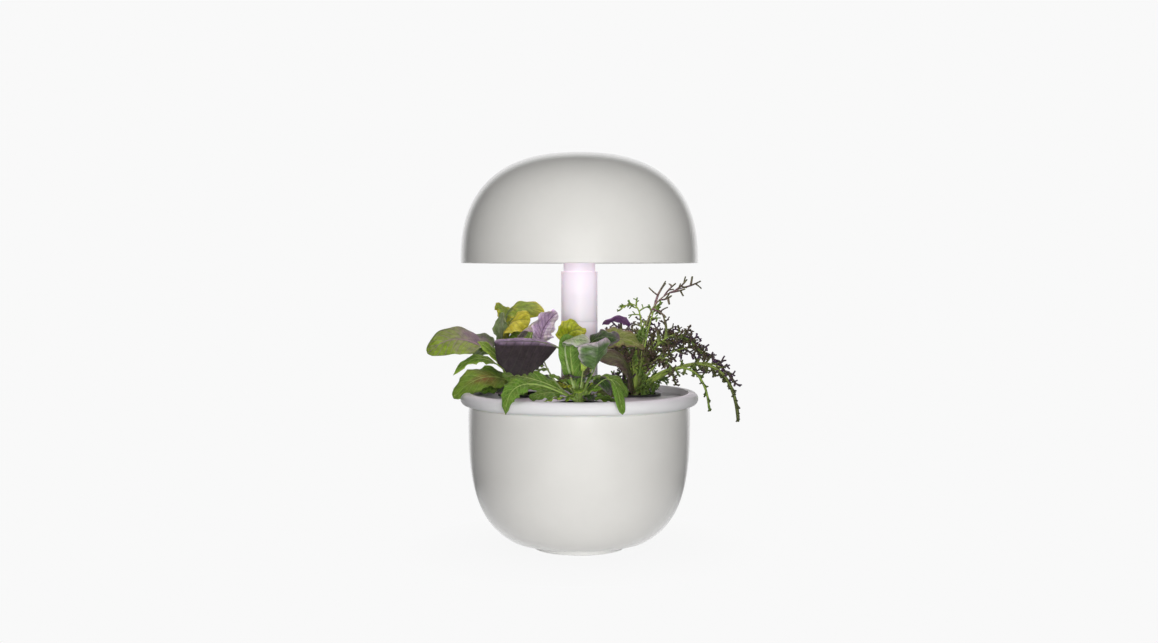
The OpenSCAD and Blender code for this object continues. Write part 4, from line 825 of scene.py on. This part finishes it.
# Painted light: the pale pink-white over the edges, and at 0.8 over the half with v below -0.2,
# stands for light falling on them.
lilac_leaf = dyed(LILAC, (172, 152, 178), PLUM, (204, 194, 204),
                  lambda u, v: max(near_edge(u, v), 0.8 * (v < -0.2)))
sunny = dyed((148, 160, 36), (156, 168, 48), (84, 104, 34), (176, 178, 56))
# Painted sheen: the pale pink-white towards the edges stands for light catching them.
silver = dyed((132, 156, 100), (112, 144, 74), (200, 212, 176), (206, 198, 200))
# Painted light and shade: the pale pink rim at the tip and edges stands for light catching it, and
# the under face is painted dark as shade.
cup = dyed((96, 124, 72), (40, 62, 30), (66, 92, 52), (206, 190, 204),
           lambda u, v: 6 * max(0, u - 0.82) + abs(v) ** 12)
dark_green = dyed((44, 66, 30), (70, 98, 48), (96, 124, 70), (120, 90, 120))
olive = dyed((104, 118, 52), (96, 98, 60), (140, 146, 90), (112, 84, 78))
umber = dyed((84, 70, 66), (78, 70, 62), (112, 116, 78), (78, 92, 52), near_rib)

chance = random.Random(7)


def leaves(bm, centre, first_seed, rows):
    """Leaves of a plant in the order of their seeds: how the stem reaches out of the capsule, its
    bare share, the blade's half widths, roll, arch and look, and the rest of its shape."""
    for seed, (*plain, shape) in enumerate(rows, first_seed):
        leaf(bm, shape.pop("centre", centre), *plain, seed=seed, **shape)


def leaning(angle, far, tall, *shares):
    """Three points of a stem that leans out at an angle, each at its shares of far and tall."""
    out = Vector((math.cos(angle), math.sin(angle), 0))
    return [out * far * along + Vector((0, 0, tall * up)) for along, up in shares]


def undergrowth(bm, centre, count, looks):
    """Young leaves that fill the crown, each leaning out of it its own way."""
    for k in range(count):
        angle = math.tau * (k + chance.random()) / count
        tall, far = chance.uniform(16, 40), chance.uniform(7, 19)
        reach = leaning(angle, far, tall, (0.35, 0.6), (0.8, 1), (1.5, chance.uniform(0.7, 1.05)))
        half = chance.uniform(2.6, 6.0)
        leaf(bm, centre, reach, 0.55, (half, half), chance.uniform(-40, 40), 0.15,
             chance.choice(looks), stem=STEM_GREEN.lerp(PALE_STEM, chance.random()),
             thick=chance.uniform(0.7, 1.1), form=(0.5, 0.55), ruffle=0.5, seed=30 + k,
             mesh=SMALL_SHEET)


def skirt(bm, centre, ways, looks):
    """Low leaves over the deck round a crown: angle, reach, height and half width of each."""
    for k, (angle, far, tall, half) in enumerate(ways):
        reach = leaning(math.radians(angle), far, tall, (0.3, 0.8), (0.75, 1), (1, 0.4))
        leaf(bm, centre, reach, 0.35, (half, half), chance.uniform(-40, 40), 0.15,
             looks[k % len(looks)], thick=1.0, form=(0.5, 0.5), teeth=(6, 0.12), ruffle=1.0,
             seed=70 + k + far)


front = start_plant()
crown(front, FRONT, shade(120, 140, 80))
leaves(front, FRONT, 1, [
    ([(0, -3, 61), (-34, -10, 55), (-71, -12, 54)], 0.46, (2.5, 31), -76, 0.1, maroon,
     dict(form=(0.6, 0.34), teeth=(9, 0.09), ruffle=1.0, blister=0.5)),
    ([(-18, -12, 14), (-60, -34, 38), (-60, -40, -4)], 0.58, (11, 10), -45, 0.15, grass,
     dict(form=(0.3, 0.8), teeth=(5, 0.25), ruffle=0.9, blister=0.5)),
    ([(-16, 8, 14), (-42, 12, 25), (-66, 14, 24)], 0.3, (9, 12), -45, 0.1, grass,
     dict(form=(0.6, 0.6), teeth=(7, 0.12), ruffle=1.2)),
    ([(-18, 8, 10), (-53, 16, 53), (-19, 27, 77)], 0.7, (12, 12), 5, 0.1, lilac_leaf,
     dict(form=(0.4, 0.5), teeth=(8, 0.08), ruffle=1.8, blister=0.5)),
    ([(-4, 8, 29), (-26, 12, 71), (6, 18, 61)], 0.56, (12, 12), 50, 0.1, sunny,
     dict(form=(0.45, 0.5), teeth=(7, 0.12), ruffle=2.2, blister=0.7)),
    ([(-5, -6, 23), (-10, -16, 52), (-6, -18, 59)], 0.2, (10, 11), 0, 0.2, grass,
     dict(form=(0.5, 0.35), ruffle=0.8, blister=0.5)),
    ([(-9, -12, 35), (-25, -20, 67), (9, -26, 55)], 0.6, (10, 10), 22, 0.3, silver,
     dict(form=(0.45, 0.5), teeth=(6, 0.08), ruffle=0.8)),
    ([(4, -6, 20), (17, -26, 30), (16, -31, 55)], 0.6, (17, 17), 195, 0, cup,
     dict(form=(0.5, 0.12), ruffle=1.0, blister=0.5, fold=-0.35)),
    ([(7, 8, 27), (-3, 0, 68), (34, -4, 55)], 0.6, (10, 10), 40, 0.2, dark_green,
     dict(form=(0.45, 0.4), teeth=(7, 0.1), ruffle=1.5, blister=0.5)),
    ([(11, 18, 28), (18, 28, 74), (57, 36, 45)], 0.55, (9, 14), 45, 0.1, olive,
     dict(form=(0.5, 0.55), teeth=(8, 0.1), ruffle=1.2, blister=0.5)),
    ([(1, -12, 18), (3, -20, 33), (6, -26, 46)], 0.6, (4, 4), 0, 0.1,
     dyed(LIME, LIME, (196, 208, 140), LIME, no_flush), dict(teeth=(3, 0.3), thick=1.0)),
    ([(-1, -8, 13), (-1, -16, 18), (0, -24, 12)], 0.35, (5, 5), 0, 0.1, fresh,
     dict(thick=0.9)),
    ([(5, -6, 13), (11, -14, 21), (18, -21, 15)], 0.4, (5, 5), 40, 0.1, grass,
     dict(thick=0.9)),
    ([(9, -8, 14), (16, -16, 36), (26, -22, 10)], 0.45, (5, 5), 40, 0.1, dark_green,
     dict(thick=0.9)),
    ([(17, -22, 19), (28, -38, 45), (35, -49, -3)], 0.68, (5, 5), 0, 0.1, grass,
     dict(form=(0.6, 0.4), thick=0.8)),
    ([(-4, -16, 12), (-4, -32, 46), (-34, -38, 36)], 0.1, (11, 12), -60, 0.2, umber,
     dict(form=(0.2, 0.4), ruffle=0.8, blister=0.6, stem=shade(120, 96, 84), centre=RIGHT)),
    ([(10, 6, 16), (30, 10, 34), (40, 4, 6)], 0.4, (8, 8), 40, 0.2, grass,
     dict(form=(0.5, 0.4), ruffle=0.8, blister=0.5)),
])
undergrowth(front, FRONT, 22, (fresh, grass, sunny, dark_green, umber))
skirt(front, FRONT, [
    (-172, 42, 14, 9), (160, 36, 15, 8), (-150, 34, 9, 7), (140, 30, 22, 8), (108, 26, 20, 8),
    (70, 28, 22, 8), (40, 34, 18, 8), (12, 38, 13, 7), (-20, 34, 9, 6), (-60, 22, 12, 5),
    (-120, 22, 12, 5)], (grass, dark_green, fresh, olive))
piece("front_greens", front, leaf_tissue, "tray", "plant_front", crease=70)

# ---------------------------------------- leaves of the left plant
# Spoon-shaped mustard and salad leaves that lean out over the rim, with yellow-green ones standing
# up behind them.
spoon = dyed((128, 152, 46), (118, 146, 60), (146, 122, 134), (122, 108, 112),
             lambda u, v: (0.95 * (v < 0.15) + 0.3) * max(0, 1.1 - 1.5 * u))
ruddy = dyed((96, 126, 40), (108, 140, 56), (140, 162, 84), (134, 90, 56),
             lambda u, v: 0.8 * math.exp(-((u - 0.55) / 0.2) ** 2 - ((v - 0.1) / 0.45) ** 2))
grey_green = dyed((112, 128, 86), (118, 134, 90), (150, 162, 120), (140, 122, 134), near_rib)
golden = dyed((168, 166, 44), (160, 162, 54), (118, 128, 42), (180, 178, 70))
arched = dyed((104, 128, 38), (100, 122, 44), (84, 98, 42), (176, 170, 52))
lilac_edge = dyed((150, 154, 120), (138, 142, 110), (120, 90, 120), (172, 148, 172))

left = start_plant()
crown(left, LEFT, shade(120, 140, 80))
leaves(left, LEFT, 41, [
    ([(-14, -5, 24), (-50, -18, 76), (-85, -23, 39)], 0.54, (16, 17), -45, 0.15, spoon,
     dict(form=(0.4, 0.5), ruffle=0.8, blister=0.45, stem=shade(156, 140, 120), thick=1.7)),
    ([(-18, 5, 22), (-30, 15, 57), (-51, 23, 51)], 0.6, (10, 10), -25, 0.1, grey_green,
     dict(form=(0.5, 0.6), ruffle=0.8, blister=0.4)),
    ([(-17, -9, 28), (-41, -15, 50), (-62, -25, 20)], 0.42, (8, 7), -30, 0.2, fresh,
     dict(form=(0.5, 0.8), teeth=(7, 0.25), ruffle=0.8)),
    ([(-10, -14, 16), (-36, -36, 32), (-60, -42, 1)], 0.22, (16, 14), -38, 0.15, ruddy,
     dict(form=(0.4, 0.5), teeth=(8, 0.14), ruffle=1.8, blister=0.5)),
    ([(-11, -7, 22), (-24, -19, 47), (-17, -27, 76)], 0.35, (8, 7), 0, 0.15, grey_green,
     dict(form=(0.5, 0.4), teeth=(10, 0.14), ruffle=2.2, blister=0.6)),
    ([(-8, -11, 31), (-30, -25, 76), (7, -33, 69)], 0.5, (17, 14), 60, 0.1, golden,
     dict(form=(0.4, 0.4), teeth=(7, 0.06), ruffle=1.2, blister=0.5)),
    ([(-11, -3, 41), (-39, -9, 96), (19, -15, 76)], 0.56, (13, 13), 38, 0.25, arched,
     dict(form=(0.4, 0.45), teeth=(9, 0.06), ruffle=1.2, blister=0.5)),
    ([(6, -19, 33), (-15, -45, 72), (24, -51, 66)], 0.58, (12, 12), 35, 0.1, lilac_edge,
     dict(form=(0.45, 0.5), ruffle=0.9, blister=0.4)),
    ([(-14, -13, 19), (-21, -23, 42), (-40, -29, 50)], 0.45, (6, 7), -55, 0.1, fresh,
     dict(form=(0.5, 0.6), ruffle=0.6, stem=PALE_STEM, thick=2.2)),
    ([(-12, 11, 27), (-30, 31, 59), (-48, 49, 29)], 0.5, (13, 13), 0, 0.2, ruddy,
     dict(form=(0.45, 0.55), teeth=(8, 0.1), ruffle=1.6, blister=0.5)),
    ([(0, 15, 34), (6, 37, 73), (10, 63, 49)], 0.5, (12, 12), 0, 0.2, grass,
     dict(form=(0.45, 0.55), teeth=(8, 0.1), ruffle=1.5, blister=0.5)),
    ([(-6, 5, 39), (-12, 19, 74), (-26, 29, 83)], 0.55, (10, 10), 5, 0.2, arched,
     dict(form=(0.45, 0.5), teeth=(8, 0.1), ruffle=1.5, blister=0.5)),
    ([(-8, -4, 30), (-26, -16, 60), (0, -26, 58)], 0.45, (12, 12), 60, 0.1, fresh,
     dict(form=(0.45, 0.45), teeth=(7, 0.08), ruffle=1.4, blister=0.5)),
    ([(0, -8, 30), (4, -20, 60), (10, -30, 50)], 0.45, (11, 11), 20, 0.1, dark_green,
     dict(form=(0.45, 0.45), teeth=(7, 0.08), ruffle=1.4, blister=0.5)),
])
undergrowth(left, LEFT, 22, (fresh, grass, ruddy, dark_green, grey_green))
skirt(left, LEFT, [
    (-178, 46, 16, 10), (-150, 44, 13, 9), (-122, 40, 12, 9), (-95, 34, 14, 8), (-65, 32, 16, 8),
    (-35, 30, 16, 7), (0, 30, 20, 8), (150, 40, 18, 9), (115, 42, 22, 10), (80, 40, 22, 9),
    (45, 34, 20, 8)], (ruddy, grass, dark_green, fresh))
piece("left_greens", left, leaf_tissue, "tray", "plant_left", crease=70)

# ---------------------------------------- fronds of the right plant
# Frilled red mustard: light green ribs that fork into many thin curling lobes, dark purple
# towards their tips.
frond_tissue = tissue("frond tissue", False, 0.45)
RIB_GREEN = shade(150, 172, 84)
LOBE_GREEN = shade(96, 122, 58)
LOBE_PURPLE = shade(72, 50, 76)
LOBE_BROWN = shade(78, 66, 58)


def shoot(bm, points, thick, thin, flat, colour, tip_colour):
    """Thin tapering shoot along a cubic curve."""
    def at(corner):
        place, side, up = stem_frame(points, corner.z)
        radius = thick + (thin - thick) * corner.z
        place = place + side * corner.x * radius + up * corner.y * radius * flat
        return place, colour.lerp(tip_colour, corner.z), tip_colour, corner.z, 0.5

    grow(bm, SHOOT_ROD, at)


def lobe(bm, start, way, up, length, thick, colour, tip_colour, forks):
    """Curling lobe that forks like an antler."""
    side = up.cross(way).normalized()
    curl = side * chance.uniform(-0.35, 0.35) * length + up * chance.uniform(-0.25, 0.35) * length
    reach = way * length
    points = [start, start + reach * 0.35, start + reach * 0.7 + curl * 0.4, start + reach + curl]
    shoot(bm, points, thick, thick * 0.8, 0.6, colour, tip_colour)
    if not forks:
        return
    hand = chance.choice((-1, 1))
    for share in (0.42, 0.68, 0.9)[:forks + 1]:
        place = stem_frame(points, share)[0]
        turn = (way * chance.uniform(0.4, 0.8) + side * hand * chance.uniform(0.6, 1.0)
                + up * chance.uniform(-0.3, 0.4))
        lobe(bm, place, turn.normalized(), up, length * chance.uniform(0.32, 0.5), thick * 0.85,
             colour.lerp(tip_colour, share), tip_colour, forks - 1)
        hand = -hand


def frond(bm, reach, bare, pairs, length, colour, tip_colour, forks=2, roll=0, thick=1.0,
          rib=RIB_GREEN, core=(1.4, 0.7)):
    """Ribbed branch with forking lobes to both sides of its outer part."""
    points = stem_points(RIGHT, reach)
    stalk(bm, points, 1, *core, RIB_GREEN, colour.lerp(rib, 0.5))
    for k in range(2 * pairs + 1):
        share = k / (2 * pairs)
        t = bare + (1 - bare) * share
        place, side, up = stem_frame(points, t, roll)
        along = side.cross(up)
        hand = 1 if k % 2 else -1
        out = (side * hand * (1 - share) * 0.95 + along * (0.35 + 0.6 * share)
               + up * chance.uniform(-0.25, 0.35))
        size = length * (1 - 0.45 * share) * chance.uniform(0.75, 1.1)
        lobe(bm, place, out.normalized(), up, size, thick,
             rib.lerp(colour, 0.5 + 0.5 * share), tip_colour, forks)


right = start_plant()
crown(right, RIGHT, shade(130, 140, 90))
# The tall antler, the pale loops beside it and the purple leaf to its left.
ANTLER = shade(112, 82, 96)
frond(right, [(10, -7, 56), (4, -17, 88), (42, -29, 98)], 0.64, 3, 25, ANTLER, shade(100, 100, 72),
      forks=1, roll=72, thick=1.45, rib=ANTLER)
frond(right, [(5, 1, 41), (14, -3, 98), (-12, -9, 79)], 0.62, 4, 11, shade(126, 146, 70),
      LOBE_GREEN, forks=1, roll=60, thick=1.2)
frond(right, [(7, -4, 41), (18, -8, 92), (20, -14, 78)], 0.62, 4, 11, shade(126, 146, 70),
      LOBE_GREEN, forks=1, roll=60, thick=1.2)
purple = dyed((116, 78, 122), (104, 72, 108), (76, 48, 82), (70, 46, 74))
leaf(right, RIGHT, [(-2, -7, 41), (4, -17, 84), (-30, -25, 65)], 0.6, (4, 5), 55, 0.1, purple,
     form=(0.6, 0.5), teeth=(5, 0.3), ruffle=1.2, stem=shade(120, 110, 96), thick=1.0, seed=60)
# The branches that lean out to the right and hang over the rim.
frond(right, [(12, -1, 41), (33, -11, 76), (58, -19, 40)], 0.3, 7, 19, LOBE_GREEN, LOBE_BROWN,
      roll=60, thick=1.4)
frond(right, [(18, -8, 36), (48, -14, 60), (74, -20, 30)], 0.35, 7, 15, LOBE_BROWN, LOBE_PURPLE,
      forks=1, roll=50, thick=1.6)
frond(right, [(44, -15, 36), (84, -25, 46), (90, -30, -15)], 0.4, 9, 10, shade(84, 92, 54),
      shade(74, 78, 50), forks=1, roll=62, thick=1.8, rib=shade(92, 100, 58), core=(2.0, 2.0))
frond(right, [(34, -13, 34), (74, -22, 40), (86, -26, 16)], 0.5, 6, 14, shade(92, 92, 62),
      LOBE_PURPLE, forks=1, roll=62, thick=1.6)
frond(right, [(22, -16, 30), (60, -30, 42), (64, -34, -6)], 0.45, 5, 9, LOBE_GREEN,
      shade(80, 92, 50), forks=1, roll=62, thick=1.5, core=(1.6, 1.3))
frond(right, [(13, -21, 32), (24, -39, 52), (32, -47, 19)], 0.3, 6, 14, LOBE_GREEN, LOBE_BROWN,
      roll=45, thick=1.3)
frond(right, [(14, 5, 39), (42, 5, 66), (56, 5, 43)], 0.3, 6, 16, LOBE_BROWN, LOBE_PURPLE, roll=60,
      thick=1.5)
frond(right, [(10, 11, 39), (34, 33, 74), (46, 49, 37)], 0.4, 6, 15, LOBE_GREEN, LOBE_PURPLE,
      roll=30, thick=1.3)
frond(right, [(2, 15, 45), (12, 33, 81), (16, 57, 59)], 0.45, 6, 13, LOBE_GREEN, LOBE_BROWN,
      thick=1.3)
# The bushy middle, and low fronds over the deck round it.
for k in range(30):
    angle = math.radians(-180 + 13 * k + chance.uniform(-6, 6))
    tall, far = (36, 54, 64, 18, 46, 10)[k % 6] + chance.uniform(-5, 5), chance.uniform(14, 26)
    frond(right, leaning(angle, far, tall, (0.3, 0.6), (0.8, 1), (1.4, 0.9)), 0.35, 5,
          chance.uniform(11, 16), chance.choice((LOBE_GREEN, LOBE_BROWN)),
          chance.choice((LOBE_GREEN, LOBE_PURPLE, LOBE_BROWN)), forks=1,
          roll=chance.choice((-50, 50, 70)), thick=1.3)
piece("right_fronds", right, frond_tissue, "tray", "plant_right", crease=70)
